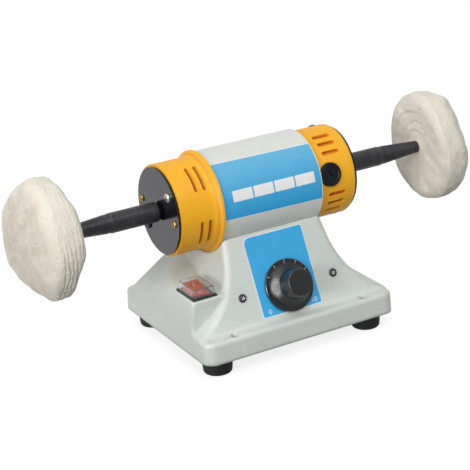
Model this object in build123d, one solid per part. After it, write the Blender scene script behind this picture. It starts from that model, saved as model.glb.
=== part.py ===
from build123d import *
import os
from math import atan2, cos, degrees, radians, sin, sqrt, tan

# A bench polisher: a motor lies across the top of a bell-shaped housing and turns a tapered
# spindle with a cloth buff at each end. X runs along the motor, -Y is the front and Z is up.
# The origin is under the middle of the housing, on the surface that the feet stand on.
# All sizes are in millimetres and degrees.

# Housing
base_length = 168.0
base_width = 144.6
base_corner_radius = 9.5
skirt_height = 17.0
skirt_draft = 2.5
skirt_edge_radius = 3.0
housing_wall = 3.0
ledge_width = 11.35        # level ledge along the front and the back, up to the sloped face
ledge_fillet = 3.5         # hollow between a sloped face and its ledge
bell_lean = 10.5           # lean of the upper side walls
bell_neck_drop = 16.0      # from the cradle's lips down to where the sides begin to flare
ridge_radius = 5.0         # rounding where a sloped face meets a flared side
cradle_drop = 23.5         # the cradle's lips lie this far under the motor axis
cradle_lip = 2.2
cradle_wall = 5.5
cradle_clearance = 0.15
shoulder_rise = 2.2        # the fuller left flank meets the skirt's side this far over the ledges
shoulder_overlap = 1.6
shoulder_blend = 52.0      # the flank turns from level to sloped over this length behind the switch
shoulder_back_step = 0.4   # the shoulder's back lies this far inside the bell's
outline_margin = 4.0       # the outlines are drawn past the skirt and cut back by its plan
edge_size = 0.2            # tells sloped edges from straight ones
draft_tolerance = 0.02     # tells drafted faces from upright ones

# Feet and bottom plate
foot_height = 13.8
foot_top_radius = 12.3
foot_bottom_radius = 11.0
foot_edge_radius = 2.0
foot_inset_x = 17.2        # foot centre from the housing's end
foot_inset_y = 18.2        # foot centre from the housing's front or back
foot_well_radius = 5.0
foot_well_depth = 7.0
foot_boss_radius = 5.5
foot_screw_radius = 2.0
foot_screw_head_radius = 4.2
foot_screw_head_height = 3.0
foot_screw_length = 22.0
plate_thickness = 1.5
plate_gap = 0.3
plate_vent_length = 34.0
plate_vent_width = 3.2
plate_vent_pitch = 8.0
plate_vent_count = 6

# Bench holes through the ledges
bench_hole_radius = 2.75
bench_boss_radius = 5.5
bench_hole_inset_x = 27.0
bench_hole_inset_y = 6.4

# Motor tube and caps
axis_height = 115.7
tube_radius = 38.0
tube_wall = 2.0
tube_length = 86.8
cap_wall = 3.0
cap_spigot = 4.0
spigot_clearance = 0.25
left_cap_length = 34.0
left_cap_step = 2.4        # the left cap is this much smaller than the tube
left_rim_overhang = 1.7    # its rim stands this far out over the tube
left_rim_width = 1.6
left_rim_sweep = 7.0       # radius of the hollow that runs from the cap up to its rim
right_cap_length = 32.0
right_cap_edge_radius = 1.6
end_plate_thickness = 2.0
end_plate_step = 1.85      # an end plate is this much smaller than the right cap
end_plate_hole_radius = 6.0
motor_turn = 14.0          # the brush axis is turned up from the front by this much

# Vent slots
left_slot_width = 3.1
left_slot_stations = (10.2, 17.1)   # from the tube's end
left_slot_start = 21.0
left_slot_sweep = 31.0
right_slot_length = 15.6
right_slot_width = 3.8
right_slot_station = 15.0
right_slot_angles = (27.0, 40.3, 53.6)

# Bearings and shaft
shaft_radius = 4.0
shaft_body_radius = 5.5
shaft_reach = 24.0         # bare shaft beyond an end plate, inside its spindle
bearing_radius = 11.0
bearing_width = 7.0
bearing_ring = 2.0
bearing_seal = 0.8
bearing_gap = 0.4
bearing_seat_clearance = 0.02
bearing_lip = 2.0
bearing_lip_radius = 8.5
hub_radius = 15.0

# Spindles
spindle_radius = 7.75
spindle_length = 39.2
spindle_shoulder_step = 0.35
taper_length = 56.0
taper_tip_radius = 3.0
spindle_chamfer = 1.0
spindle_clearance = 0.05
spindle_bore_room = 1.0    # the bore goes this far past the shaft's end
spindle_gap_left = 1.2
spindle_gap_right = 3.2
grub_radius = 2.5
grub_inset = 12.0

# Buffs
buff_radius = 45.0
buff_thickness = 33.0
buff_edge_radius = 9.0
buff_dish = 3.0
buff_dish_radius = 18.0
buff_setback = 38.0        # from the spindle's shoulder to the buff
buff_clearance = 0.3

# Armature, field and fan
core_length = 40.0
armature_radius = 19.4
air_gap = 0.8
armature_slots = 12
armature_slot_width = 3.4
armature_slot_depth = 8.0
slot_insulation = 0.2
winding_overhang = 9.0
winding_inner_radius = 7.0
winding_step = 1.2         # the end turns are this much smaller than the core
field_outer_gap = 0.3
field_yoke = 6.5
pole_neck_width = 22.0
pole_shoe_thickness = 2.6
pole_shoe_angle = 120.0
coil_angle = 76.0
coil_gap = 0.3
coil_overhang = 9.0
commutator_radius = 11.0
commutator_length = 16.0
commutator_bars = 24
commutator_groove = 0.6
fan_tip_gap = 3.6          # between the fan's blades and the cap round them
fan_hub_radius = 9.0
fan_disc = 1.6
fan_blade_height = 12.0
fan_blade_thickness = 1.5
fan_blades = 11
fan_clearance = 2.4        # between the fan and the left bearing's lip

# Brushes
brush_cap_margin = 0.1     # between a brush cap and the tube's right end
brush_width = 6.0
brush_length = 10.0
brush_depth = 14.0
brush_gap = 0.3
holder_radius = 7.6
holder_wall_gap = 0.15
holder_stand_off = 2.6
brush_cap_radius = 9.3
brush_cap_thickness = 2.6
brush_cap_slot_width = 1.6
brush_cap_slot_length = 12.0
brush_cap_slot_depth = 1.2
spring_wire = 0.5
spring_radius = 2.3
spring_turns = 4

# Screws
screw_clearance = 0.1
screw_crown = 0.45         # share of a head's height that is rounded
hole_runout = 1.0          # a hole is drilled this far past its screw
spot_face_clearance = 0.5
bolt_radius = 2.0
bolt_head_radius = 3.5
bolt_head_height = 2.2
bolt_length = 5.0
bolt_circle = 25.0
bolt_angle = 40.0
brass_radius = 1.4
brass_head_radius = 2.7
brass_head_height = 1.6
brass_length = 4.5
brass_circle = 27.0
brass_angle = -6.0
cap_screw_station = 24.0   # from the tube's right end
cap_screw_angle = 113.0
cap_screw_radius = 1.4
cap_screw_head_radius = 2.9
cap_screw_head_height = 1.5
cap_screw_length = 5.0
motor_bolt_inset = 10.4    # from the tube's end
motor_bolt_radius = 2.0
motor_bolt_head_radius = 4.0
motor_bolt_head_height = 3.0
motor_nut_width = 8.0
motor_nut_height = 3.2
front_screw_spread = 40.3
front_screw_radius = 1.5
front_screw_head_radius = 3.3
front_screw_head_height = 1.4
front_screw_length = 6.5
front_row_rise = 20.4      # knob and front screws, above the ledges

# Switch
pad_length = 30.8          # along Y
pad_front_step = 0.323     # the pad's front lies this far behind the sloped face at its height
pad_height = 26.2          # above the ledges
pad_margin = 1.1           # from the switch's bezel to the pad's left edge
pad_edge_radius = 2.0
pad_front_radius = 1.8
bezel_width = 20.4         # along X
bezel_length = 28.0        # along Y
bezel_height = 1.6
bezel_rim = 2.0
bezel_setback = 4.9        # from the housing's end
switch_depth = 18.0
switch_wall = 1.2
switch_clearance = 0.15
switch_relief = 0.4        # the flank is cut back at least this far from the switch and its cover
rocker_gap = 0.8
rocker_tilt = 10.0
rocker_rise = 4.0
rocker_hollow = 2.2
rocker_pivot_drop = 1.0
cover_height = 6.6
cover_taper = 6.0
cover_wall = 0.9
cover_edge = 0.8
cover_corner = 2.5
rocker_pin_radius = 1.0
rocker_pin_clearance = 0.06
rocker_pin_end_gap = 0.2
switch_tab_length = 7.0
switch_tab_width = 6.3
switch_tab_thickness = 0.8

# Knob and potentiometer
knob_skirt_radius = 20.4
knob_skirt_thickness = 2.0
knob_flare_radius = 16.0
knob_flare_height = 5.3
knob_grip_radius = 10.6
knob_top_radius = 10.0
knob_height = 20.5
knob_face_gap = 0.9
knob_recess_radius = 8.0
knob_recess_depth = 5.0
knob_edge_radius = 1.0
pot_radius = 8.5
pot_depth = 9.5
pot_bush_radius = 3.6
pot_bush_length = 9.0
pot_nut_width = 10.0
pot_nut_height = 2.2
pot_shaft_radius = 3.0
pot_running_clearance = 0.06

# Speed control
bracket_end = 3.7          # from a front screw to the bracket's end
bracket_height = 30.0
bracket_thickness = 2.0
spacer_length = 13.0
spacer_radius = 2.6
spacer_inset_x = 5.0       # from the board's end
spacer_inset_y = 4.5
board_length = 66.0
board_height = 30.0
board_thickness = 1.6
capacitor_place = (-18.0, 4.0)       # along and up the board
capacitor_size = (26.0, 12.0, 15.0)  # length, width and height off the board
choke_place = (12.0, 4.0)
choke_radius = 9.0
choke_hole_radius = 4.0
choke_height = 10.0
device_place = (28.0, 3.0)
device_size = (4.6, 10.0, 14.0)
terminal_place = (-4.0, -10.0)
terminal_size = (40.0, 8.0, 10.0)

# Cord inlet
gland_station = 36.0
gland_rise = 19.4          # above the ledges, on the sloped back
gland_bore_radius = 3.6
gland_body_radius = 5.2
gland_flange_radius = 7.0
gland_flange_thickness = 3.0
gland_dome_length = 9.0
gland_dome_radius = 6.0
gland_tip_radius = 4.8
gland_nut_width = 13.0
gland_nut_height = 4.0
gland_clearance = 0.1

# Places and sizes that follow from those above
motor_hole_radius = motor_bolt_radius + screw_clearance
front_hole_radius = front_screw_radius + screw_clearance
pot_hole_radius = pot_bush_radius + screw_clearance
foot_hole_radius = foot_screw_radius + screw_clearance
brass_hole_radius = brass_radius + screw_clearance
bolt_hole_radius = bolt_radius + screw_clearance
cap_hole_radius = cap_screw_radius + screw_clearance
motor_spot_radius = motor_bolt_head_radius + spot_face_clearance
rising = (Align.CENTER, Align.CENTER, Align.MIN)
half_tube = tube_length / 2
skirt_top = foot_height + skirt_height
cradle_top = axis_height - cradle_drop
lip_depth = sqrt(tube_radius ** 2 - cradle_drop ** 2) + cradle_lip
ledge_depth = base_width / 2 - ledge_width
face_slope = degrees(atan2(ledge_depth - lip_depth, cradle_top - skirt_top))
tube_bore = tube_radius - tube_wall
right_cap_radius = tube_bore - spigot_clearance
left_cap_radius = tube_radius - left_cap_step
left_rim_radius = tube_radius + left_rim_overhang
end_plate_radius = right_cap_radius - end_plate_step
fan_radius = left_cap_radius - cap_wall - fan_tip_gap
winding_outer_radius = armature_radius - winding_step
left_face = -half_tube - left_cap_length
right_face = half_tube + right_cap_length
left_plate_face = left_face - end_plate_thickness
right_plate_face = right_face + end_plate_thickness
spindle_left = left_plate_face - spindle_gap_left
spindle_right = right_plate_face + spindle_gap_right
shaft_left_end = left_plate_face - shaft_reach
shaft_right_end = right_plate_face + shaft_reach
plate_top = foot_height + plate_thickness
foot_x = base_length / 2 - foot_inset_x
foot_y = base_width / 2 - foot_inset_y
bench_x = base_length / 2 - bench_hole_inset_x
bench_y = base_width / 2 - bench_hole_inset_y
motor_axis = Axis((0, 0, axis_height), (1, 0, 0))
row_z = skirt_top + front_row_rise
row_y = front_row_rise * tan(radians(face_slope)) - ledge_depth
front_plane = Plane((0, row_y, row_z), (1, 0, 0), (0, -cos(radians(face_slope)), sin(radians(face_slope))))
four_feet = [(x, y) for x in (-foot_x, foot_x) for y in (-foot_y, foot_y)]
four_holes = [(x, y) for x in (-bench_x, bench_x) for y in (-bench_y, bench_y)]
motor_bolt_station = half_tube - motor_bolt_inset
cradle_radius = tube_radius + cradle_clearance
cradle_floor = axis_height - cradle_radius - cradle_wall
rim_relief = left_rim_radius + 2 * cradle_clearance
foot_hole_top = foot_well_depth + foot_screw_length + hole_runout
motor_bolt_seat = cradle_floor + cradle_clearance * 2
motor_nut_floor = axis_height - sqrt(tube_bore ** 2 - motor_nut_width ** 2 / 3) + screw_clearance / 2
pole_bore = armature_radius + air_gap
field_radius = tube_bore - field_outer_gap
yoke_bore = field_radius - field_yoke
shaft_seat = shaft_body_radius + bearing_seat_clearance
brush_x = half_tube + brush_cap_radius + brush_cap_margin
holder_start = commutator_radius + holder_stand_off
brush_back = commutator_radius + brush_gap + brush_depth
brush_cap_floor = sqrt(right_cap_radius ** 2 - brush_cap_radius ** 2)
holder_boss_start = right_cap_radius - 3 * cap_wall
holder_boss_radius = holder_radius + cap_wall
bracket_length = 2 * (front_screw_spread + bracket_end)
bracket_back = housing_wall + bracket_thickness
spacer_spread_x = board_length - 2 * spacer_inset_x
spacer_spread_y = board_height - 2 * spacer_inset_y
board_front = bracket_back + spacer_length
pot_shaft_depth = bracket_back + pot_depth - 2 * bracket_thickness
knob_bore_depth = knob_height - knob_skirt_thickness
pad_top = skirt_top + pad_height
pad_back = pad_height * tan(radians(face_slope)) - ledge_depth + pad_front_step + pad_length
shoulder_start = pad_back + shoulder_blend
switch_x = bezel_setback + (bezel_width - base_length) / 2
switch_plane = Plane((switch_x, pad_back - pad_length / 2, pad_top), (1, 0, 0), (0, 0, 1))
rocker_pivot = bezel_height - rocker_pivot_drop
gland_y = ledge_depth - gland_rise * tan(radians(face_slope))
gland_facing = (0, cos(radians(face_slope)), sin(radians(face_slope)))
gland_plane = Plane((gland_station, gland_y, skirt_top + gland_rise), (-1, 0, 0), gland_facing)


# A ring-shaped or round solid about the motor axis, from its half section of (station, radius) points
def turned(*outline):
    corners = [(station, axis_height + radius) for station, radius in outline]
    section = make_face(Polyline(*corners, close=True))
    return revolve(Plane.XZ * section, motor_axis)


# A plane that faces away from the motor axis, at a station along it and an angle up from the front
def radial_plane(station, angle):
    outward = (0, -cos(radians(angle)), sin(radians(angle)))
    return Plane((station, 0, axis_height), (1, 0, 0), outward)


# A plane across the motor axis that faces one end, with its own x to the front
def end_plane(station, side):
    return Plane((station, 0, axis_height), (0, -1, 0), (side, 0, 0))


# A place on such a plane, at a distance from the axis and an angle up from the front
def polar(side, radius, angle):
    return radius * cos(radians(angle)), -side * radius * sin(radians(angle))


# Part of a ring about the motor axis, from a start angle up from the front through a sweep
def sector(start, sweep, *outline):
    corners = [(station, axis_height + radius) for station, radius in outline]
    section = make_face(Polyline(*corners, close=True))
    piece = revolve(Plane.XZ * section, motor_axis, revolution_arc=sweep)
    return piece.rotate(motor_axis, 90 - start - sweep)


# A rectangle as a half section, for turned and sector
def band(low, high, inner, outer):
    return (low, inner), (high, inner), (high, outer), (low, outer)


# An upright round bar between two heights
def post(x, y, low, high, radius):
    return Pos(x, y, low) * Cylinder(radius, high - low, align=rising)


# A round bar that starts at a height above a plane and rises along its normal
def bar(plane, u, v, start, length, radius):
    return plane * Pos(u, v, start) * Cylinder(radius, length, align=rising)


# A block that rises from a height above a plane
def block(plane, u, v, start, size_u, size_v, height):
    return plane * Pos(u, v, start) * Box(size_u, size_v, height, align=rising)


# A hexagonal nut with a bore, its flats a given width apart
def hex_nut(plane, u, v, start, width, height, bore):
    outline = RegularPolygon(width / 2, 6, major_radius=False) - Circle(bore)
    return plane * Pos(u, v, start) * extrude(outline, height)


# A screw with its head above a seat on a plane and its shank below
def screw(plane, u, v, seat, head_radius, head_height, radius, length):
    head = bar(plane, u, v, seat, head_height, head_radius)
    top = head.faces().sort_by(Axis(plane.origin, plane.z_dir))[-1]
    head = fillet(top.edges(), screw_crown * head_height)
    return head + bar(plane, u, v, seat - length, length, radius)


# Outline of the housing seen from the front: leaning upper sides that sweep out past the skirt
def side_outline(inset, floor):
    neck = half_tube + bell_neck_drop * tan(radians(bell_lean))
    wall = Line((half_tube, cradle_top), (neck, cradle_top - bell_neck_drop))
    flare = TangentArc(wall @ 1, (base_length / 2, skirt_top), tangent=wall % 1)
    runout = Line(flare @ 1, flare @ 1 + flare % 1 * outline_margin)
    foot = Polyline(runout @ 1, ((runout @ 1).X, floor), (0, floor), (0, cradle_top), wall @ 0)
    half = make_face([wall, flare, runout, foot])
    whole = half + mirror(half, Plane.YZ)
    return offset(whole, -inset, kind=Kind.INTERSECTION) if inset else whole


# Outline of the housing seen from its end: sloped faces that run through a hollow into the ledges
def end_outline(inset, floor):
    edge = base_width / 2 + outline_margin
    half = make_face(Polyline((0, floor), (edge, floor), (edge, skirt_top), (ledge_depth, skirt_top),
                              (lip_depth, cradle_top), (0, cradle_top), close=True))
    hollow = half.vertices().sort_by_distance((ledge_depth, skirt_top))[0]
    half = fillet(hollow, ledge_fillet)
    whole = half + mirror(half, Plane.YZ)
    return offset(whole, -inset, kind=Kind.INTERSECTION) if inset else whole


# The bell: both outlines drawn through each other and held inside the rounded plan of the skirt;
# with no inset its ridges and the skirt's upper edge are rounded
def bell(inset):
    bottom = foot_height - inset
    floor = bottom - inset - outline_margin
    across = extrude(Plane.XZ * side_outline(inset, floor), base_width, both=True)
    body = across & extrude(Plane.YZ * end_outline(inset, floor), base_length, both=True)
    if not inset:
        extents = [(e, e.bounding_box().size) for e in body.edges()]
        ridges = [e for e, extent in extents if min(extent.X, extent.Y) > edge_size]
        body = fillet(ridges, ridge_radius)
    plan = RectangleRounded(base_length - 2 * inset, base_width - 2 * inset, base_corner_radius - inset)
    body &= extrude(Pos(0, 0, bottom) * plan, cradle_top, taper=skirt_draft)
    if inset:
        return body
    lean = sin(radians(skirt_draft))
    drafted = [f for f in body.faces() if abs(f.normal_at().Z - lean) < draft_tolerance]
    rim = [e for f in drafted for e in f.edges() if e.bounding_box().min.Z > skirt_top - skirt_height / 2]
    return fillet(rim, skirt_edge_radius)


# Section of the left flank at the switch, seen from the front: the skirt's side bends in to a level pad
def pad_section(inset):
    bottom = foot_height - inset
    side = inset - base_length / 2
    wall = Line((side, bottom), (side + (skirt_top - bottom) * tan(radians(skirt_draft)), skirt_top))
    corner = (switch_x - bezel_width / 2 - pad_margin + inset, pad_top - inset)
    bend = TangentArc(wall @ 1, corner, tangent=wall % 1)
    inner = -half_tube - shoulder_overlap
    section = make_face([wall, bend, Polyline(corner, (inner, corner[1]), (inner, bottom), wall @ 0)])
    if inset:
        return section
    return fillet(section.vertices().sort_by_distance(corner)[0], pad_edge_radius)


# Section of the left flank further back: a straight slope from the skirt's side up to the bell
def shoulder_section(inset):
    draft = tan(radians(skirt_draft))
    bottom = foot_height - inset
    side = base_length / 2 - inset
    reach = base_length / 2 + skirt_top + shoulder_rise - inset * sqrt(2)
    knee = (reach - side - bottom * draft) / (1 - draft)
    middle = pad_top - inset
    inner = half_tube + shoulder_overlap
    section = make_face(Polyline((-side, bottom), (knee - reach, knee), (middle - reach, middle),
                                 (-inner, reach - inner), (-inner, bottom), close=True))
    if inset:
        return section
    return fillet(section.vertices().sort_by_distance((knee - reach, knee))[0], skirt_edge_radius)


# A section stood across the housing at a distance behind its middle
def standing(section, y):
    return Plane((0, y, 0), (1, 0, 0), (0, -1, 0)) * section


# Fuller left flank, or the room inside it: a level pad for the switch that turns into a slope behind it
def left_flank(inset):
    pad = extrude(standing(pad_section(inset), pad_back), pad_length - inset)
    if not inset:
        front = pad.faces().sort_by(Axis.Y)[0].edges()
        bottom = foot_height + edge_size
        rounded = [e for e in front if e.center().Z > bottom and e.center().X < -half_tube - pad_edge_radius]
        pad = fillet(rounded, pad_front_radius)
    turn = loft([standing(pad_section(inset), pad_back), standing(shoulder_section(inset), shoulder_start)],
                ruled=True)
    return pad + turn + shoulder(inset)


# The sloped part of the flank, its back held inside the bell's
def shoulder(inset):
    bottom = foot_height - inset
    lip = lip_depth - shoulder_back_step - inset / cos(radians(face_slope))
    knee = skirt_top - skirt_edge_radius
    back = lip + (cradle_top - knee) * tan(radians(face_slope))
    length = make_face(Polyline((shoulder_start, bottom), (back, bottom), (back, knee), (lip, cradle_top),
                                (shoulder_start, cradle_top), close=True))
    body = extrude(standing(shoulder_section(inset), shoulder_start), -base_width)
    body &= extrude(Plane.YZ * length, base_length, both=True)
    if inset:
        return body
    return fillet(slope_edges(body).sort_by(Axis.Y)[-1], skirt_edge_radius)


# Edges of the shoulder's sloped face
def slope_edges(body):
    flat = [(face, face.normal_at()) for face in body.faces().filter_by(GeomType.PLANE)]
    sloped = [face for face, facing in flat if facing.X < -edge_size and facing.Z > edge_size]
    return sloped[0].edges()


# Bell-shaped housing: a hollow casting with a cradle for the motor, screw bosses inside its
# corners, bench holes through its ledges, a switch pad on its left flank and a cord inlet at the back
def base_housing():
    solid = bell(0) + left_flank(0)
    hollow = bell(housing_wall) + left_flank(housing_wall)
    hollow -= bar(end_plane(-base_length, 1), 0, 0, 0, 2 * base_length, cradle_radius + cradle_wall)
    body = solid - hollow
    middle = bell(housing_wall / 2)
    for x, y in four_feet:
        body += post(x, y, plate_top, cradle_top, foot_boss_radius) & middle
    for x, y in four_holes:
        body += post(x, y, plate_top, cradle_top, bench_boss_radius) & middle
    body -= bar(end_plane(-base_length, 1), 0, 0, 0, 2 * base_length, cradle_radius)
    body -= bar(end_plane(cradle_clearance - half_tube, -1), 0, 0, 0, base_length, rim_relief)
    for x, y in four_feet:
        body -= post(x, y, 0, foot_hole_top, foot_hole_radius)
    for x, y in four_holes:
        body -= post(x, y, 0, cradle_top, bench_hole_radius)
    for x in (-motor_bolt_station, motor_bolt_station):
        body -= post(x, 0, cradle_floor - cradle_wall, axis_height, motor_hole_radius)
        body -= post(x, 0, cradle_floor - cradle_wall, motor_bolt_seat, motor_spot_radius)
    for u in (-front_screw_spread, front_screw_spread):
        body -= bar(front_plane, u, 0, -2 * housing_wall, 3 * housing_wall, front_hole_radius)
    body -= bar(front_plane, 0, 0, -2 * housing_wall, 3 * housing_wall, pot_hole_radius)
    body -= switch_box(switch_clearance, 2 * housing_wall)
    body -= block(switch_plane, 0, 0, 0, bezel_width + 2 * switch_relief, bezel_length + 2 * switch_relief,
                  bezel_height + cover_height + switch_relief)
    body -= bar(gland_plane, 0, 0, -2 * housing_wall, 3 * housing_wall, gland_body_radius + gland_clearance)
    return body


# The part of the switch below its bezel, made larger by a clearance, to a depth under the pad's top
def switch_box(clearance, depth):
    width = bezel_width - 2 * bezel_rim + 2 * clearance
    length = bezel_length - 2 * bezel_rim + 2 * clearance
    return block(switch_plane, 0, 0, -depth, width, length, depth)


# Steel plate that closes the housing underneath, with rows of vents
def bottom_plate():
    inset = housing_wall + plate_gap
    length = base_length - 2 * inset
    outline = RectangleRounded(length, base_width - 2 * inset, base_corner_radius - housing_wall)
    plate = extrude(Pos(0, 0, foot_height) * outline, plate_thickness)
    for x, y in four_feet:
        plate -= post(x, y, 0, cradle_top, foot_hole_radius)
    for x, y in four_holes:
        plate -= post(x, y, 0, cradle_top, bench_hole_radius)
    first = -(plate_vent_count - 1) / 2 * plate_vent_pitch
    vent = extrude(SlotOverall(plate_vent_length, plate_vent_width), 2 * plate_top)
    for row in range(plate_vent_count):
        plate -= Pos(0, first + row * plate_vent_pitch, 0) * vent
    return plate


# Rubber foot: a blunt cone with a rounded tread and a well for its screw
def rubber_feet():
    feet = []
    for x, y in four_feet:
        foot = Pos(x, y, 0) * Cone(foot_bottom_radius, foot_top_radius, foot_height,
                                   align=rising)
        foot = fillet(foot.faces().sort_by(Axis.Z)[0].edges(), foot_edge_radius)
        foot -= post(x, y, 0, foot_well_depth, foot_well_radius)
        foot -= post(x, y, 0, foot_height, foot_hole_radius)
        feet.append(foot)
    return feet


def foot_screws():
    downward = Plane((0, 0, foot_well_depth), (1, 0, 0), (0, 0, -1))
    return [screw(downward, x, -y, 0, foot_screw_head_radius, foot_screw_head_height, foot_screw_radius,
                  foot_screw_length) for x, y in four_feet]


# Painted steel tube that carries the field core
def motor_tube():
    tube = turned(*band(-half_tube, half_tube, tube_bore, tube_radius))
    for x in (-motor_bolt_station, motor_bolt_station):
        tube -= post(x, 0, 0, axis_height, motor_hole_radius)
    return tube


# Bolts that pull the tube into the cradle, with nuts inside the tube
def motor_bolts():
    downward = Plane((0, 0, motor_bolt_seat), (1, 0, 0), (0, 0, -1))
    length = motor_nut_floor + motor_nut_height - motor_bolt_seat
    return [screw(downward, x, 0, 0, motor_bolt_head_radius, motor_bolt_head_height, motor_bolt_radius,
                  length) for x in (-motor_bolt_station, motor_bolt_station)]


def motor_nuts():
    return [hex_nut(Plane.XY, x, 0, motor_nut_floor, motor_nut_width, motor_nut_height,
                    motor_hole_radius) for x in (-motor_bolt_station, motor_bolt_station)]


# Holes for the end plate's screws, through the plate and into the cap's end wall
def end_screw_holes(face, side):
    plane = end_plane(face, side)
    deep = end_plate_thickness + bolt_length + hole_runout
    holes = []
    for angle in (bolt_angle, bolt_angle + 180):
        holes.append(bar(plane, *polar(side, bolt_circle, angle), -deep, 2 * deep, bolt_hole_radius))
    for angle in (brass_angle, brass_angle + 180):
        holes.append(bar(plane, *polar(side, brass_circle, angle), -deep, 2 * deep, brass_hole_radius))
    return holes


# Half section of an end cap's inside, from its open end to the bearing seat; side is -1 or 1
def cap_inside(side, face, inner_radius):
    seat = face - side * bearing_width
    lip = seat - side * bearing_lip
    wall = face - side * cap_wall
    pocket = bearing_radius + bearing_seat_clearance
    return [(face, pocket), (seat, pocket), (seat, bearing_lip_radius), (lip, bearing_lip_radius),
            (lip, hub_radius), (wall, hub_radius), (wall, inner_radius)]


# Left cap: a cup whose open end sweeps out to a rim over the tube's end, with pairs of vents round it
def left_end_cap():
    spigot = cap_spigot - half_tube
    rise = left_rim_radius - left_cap_radius
    run = sqrt(left_rim_sweep ** 2 - (left_rim_sweep - rise) ** 2)
    rim = -half_tube - left_rim_width
    inner_radius = left_cap_radius - cap_wall
    spigot_radius = tube_bore - spigot_clearance
    sweep = TangentArc((rim - run, axis_height + left_cap_radius), (rim, axis_height + left_rim_radius),
                       tangent=(1, 0))
    rest = [(rim, left_rim_radius), (-half_tube, left_rim_radius), (-half_tube, spigot_radius),
            (spigot, spigot_radius), (spigot, inner_radius)]
    rest += reversed(cap_inside(-1, left_face, inner_radius))
    rest += [(left_face, left_cap_radius), (rim - run, left_cap_radius)]
    outline = Polyline(*[(station, axis_height + radius) for station, radius in rest])
    cap = revolve(Plane.XZ * make_face([sweep, outline]), motor_axis)
    for middle in (motor_turn, motor_turn + 180):
        for start in (middle + left_slot_start, middle - left_slot_start - left_slot_sweep):
            for station in left_slot_stations:
                cap -= round_slot(-half_tube - station, start)
    for hole in end_screw_holes(left_face, -1):
        cap -= hole
    return cap


# Vent slot that runs part of the way round the left cap, with round ends
def round_slot(station, start):
    low = left_cap_radius - 2 * cap_wall
    high = left_cap_radius + cap_wall
    half = left_slot_width / 2
    slot = sector(start, left_slot_sweep, *band(station - half, station + half, low, high))
    for angle in (start, start + left_slot_sweep):
        slot += bar(radial_plane(station, angle), 0, 0, low, high - low, half)
    return slot


# Right cap: a cup that slips into the tube, with vents along it and seats for the brush holders
def right_end_cap():
    inner_radius = right_cap_radius - cap_wall
    spigot = half_tube - cap_spigot
    outline = [(spigot, inner_radius), (spigot, right_cap_radius), (right_face, right_cap_radius)]
    outline += cap_inside(1, right_face, inner_radius)
    cap = turned(*outline)
    circles = cap.edges().filter_by(GeomType.CIRCLE)
    outer = circles.filter_by(lambda edge: edge.radius > inner_radius + cap_wall / 2)
    cap = fillet(outer.sort_by(Axis.X)[-1], right_cap_edge_radius)
    for middle in (motor_turn, motor_turn + 180):
        seat = radial_plane(brush_x, middle)
        cap += bar(seat, 0, 0, holder_boss_start, brush_cap_floor - holder_boss_start, holder_boss_radius)
        cap -= bar(seat, 0, 0, 0, tube_radius + cap_wall, holder_radius + holder_wall_gap)
        cap -= bar(seat, 0, 0, brush_cap_floor, tube_radius, brush_cap_radius + holder_wall_gap)
        for spread in right_slot_angles:
            for angle in (middle - spread, middle + spread):
                plane = radial_plane(half_tube + right_slot_station, angle)
                slot = extrude(SlotOverall(right_slot_length, right_slot_width), 3 * cap_wall)
                cap -= plane * Pos(0, 0, inner_radius - cap_wall) * slot
    for angle in (cap_screw_angle, cap_screw_angle + 180):
        plane = radial_plane(half_tube + cap_screw_station, angle)
        cap -= bar(plane, 0, 0, inner_radius - cap_wall, 3 * cap_wall, cap_hole_radius)
    for hole in end_screw_holes(right_face, 1):
        cap -= hole
    return cap


# Black disc over the end of a cap, which also keeps the bearing in its pocket
def end_plate(face, side):
    plate = bar(end_plane(face, side), 0, 0, 0, end_plate_thickness, end_plate_radius)
    plate -= bar(end_plane(face, side), 0, 0, 0, end_plate_thickness, end_plate_hole_radius)
    for hole in end_screw_holes(face, side):
        plate -= hole
    return plate


def plate_bolts():
    bolts = []
    for face, side in ((left_plate_face, -1), (right_plate_face, 1)):
        for angle in (bolt_angle, bolt_angle + 180):
            bolts.append(screw(end_plane(face, side), *polar(side, bolt_circle, angle), 0, bolt_head_radius,
                               bolt_head_height, bolt_radius, bolt_length))
    return bolts


def plate_screws():
    screws = []
    for face, side in ((left_plate_face, -1), (right_plate_face, 1)):
        for angle in (brass_angle, brass_angle + 180):
            screws.append(screw(end_plane(face, side), *polar(side, brass_circle, angle), 0,
                                brass_head_radius, brass_head_height, brass_radius, brass_length))
    return screws


def cap_screws():
    return [screw(radial_plane(half_tube + cap_screw_station, angle), 0, 0, right_cap_radius,
                  cap_screw_head_radius, cap_screw_head_height, cap_screw_radius, cap_screw_length)
            for angle in (cap_screw_angle, cap_screw_angle + 180)]


# Outer ring of a sealed ball bearing, with its two seals
def bearing_outer_rings():
    rings = []
    inside = shaft_radius + bearing_ring + bearing_gap
    for face, side in ((left_face, -1), (right_face, 1)):
        back = face - side * bearing_width
        track = bearing_radius - bearing_ring
        rings.append(turned((face, bearing_radius), (back, bearing_radius), (back, inside),
                            (back + side * bearing_seal, inside), (back + side * bearing_seal, track),
                            (face - side * bearing_seal, track), (face - side * bearing_seal, inside),
                            (face, inside)))
    return rings


def bearing_inner_rings():
    bore = shaft_radius + bearing_seat_clearance
    return [turned(*band(face - side * bearing_width, face, bore, shaft_radius + bearing_ring))
            for face, side in ((left_face, -1), (right_face, 1))]


# Laminated field core: a yoke with two poles, above and below the brush axis
def field_core():
    half = core_length / 2
    core = turned(*band(-half, half, yoke_bore, field_radius))
    for angle in (motor_turn + 90, motor_turn - 90):
        neck_start = pole_bore + pole_shoe_thickness / 2
        neck_end = (yoke_bore + field_radius) / 2
        core += block(radial_plane(0, angle), 0, 0, neck_start, core_length, pole_neck_width,
                      neck_end - neck_start)
        core += sector(angle - pole_shoe_angle / 2, pole_shoe_angle,
                       *band(-half, half, pole_bore, pole_bore + pole_shoe_thickness))
    return core - turned(*band(-core_length, core_length, 0, pole_bore))


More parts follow.
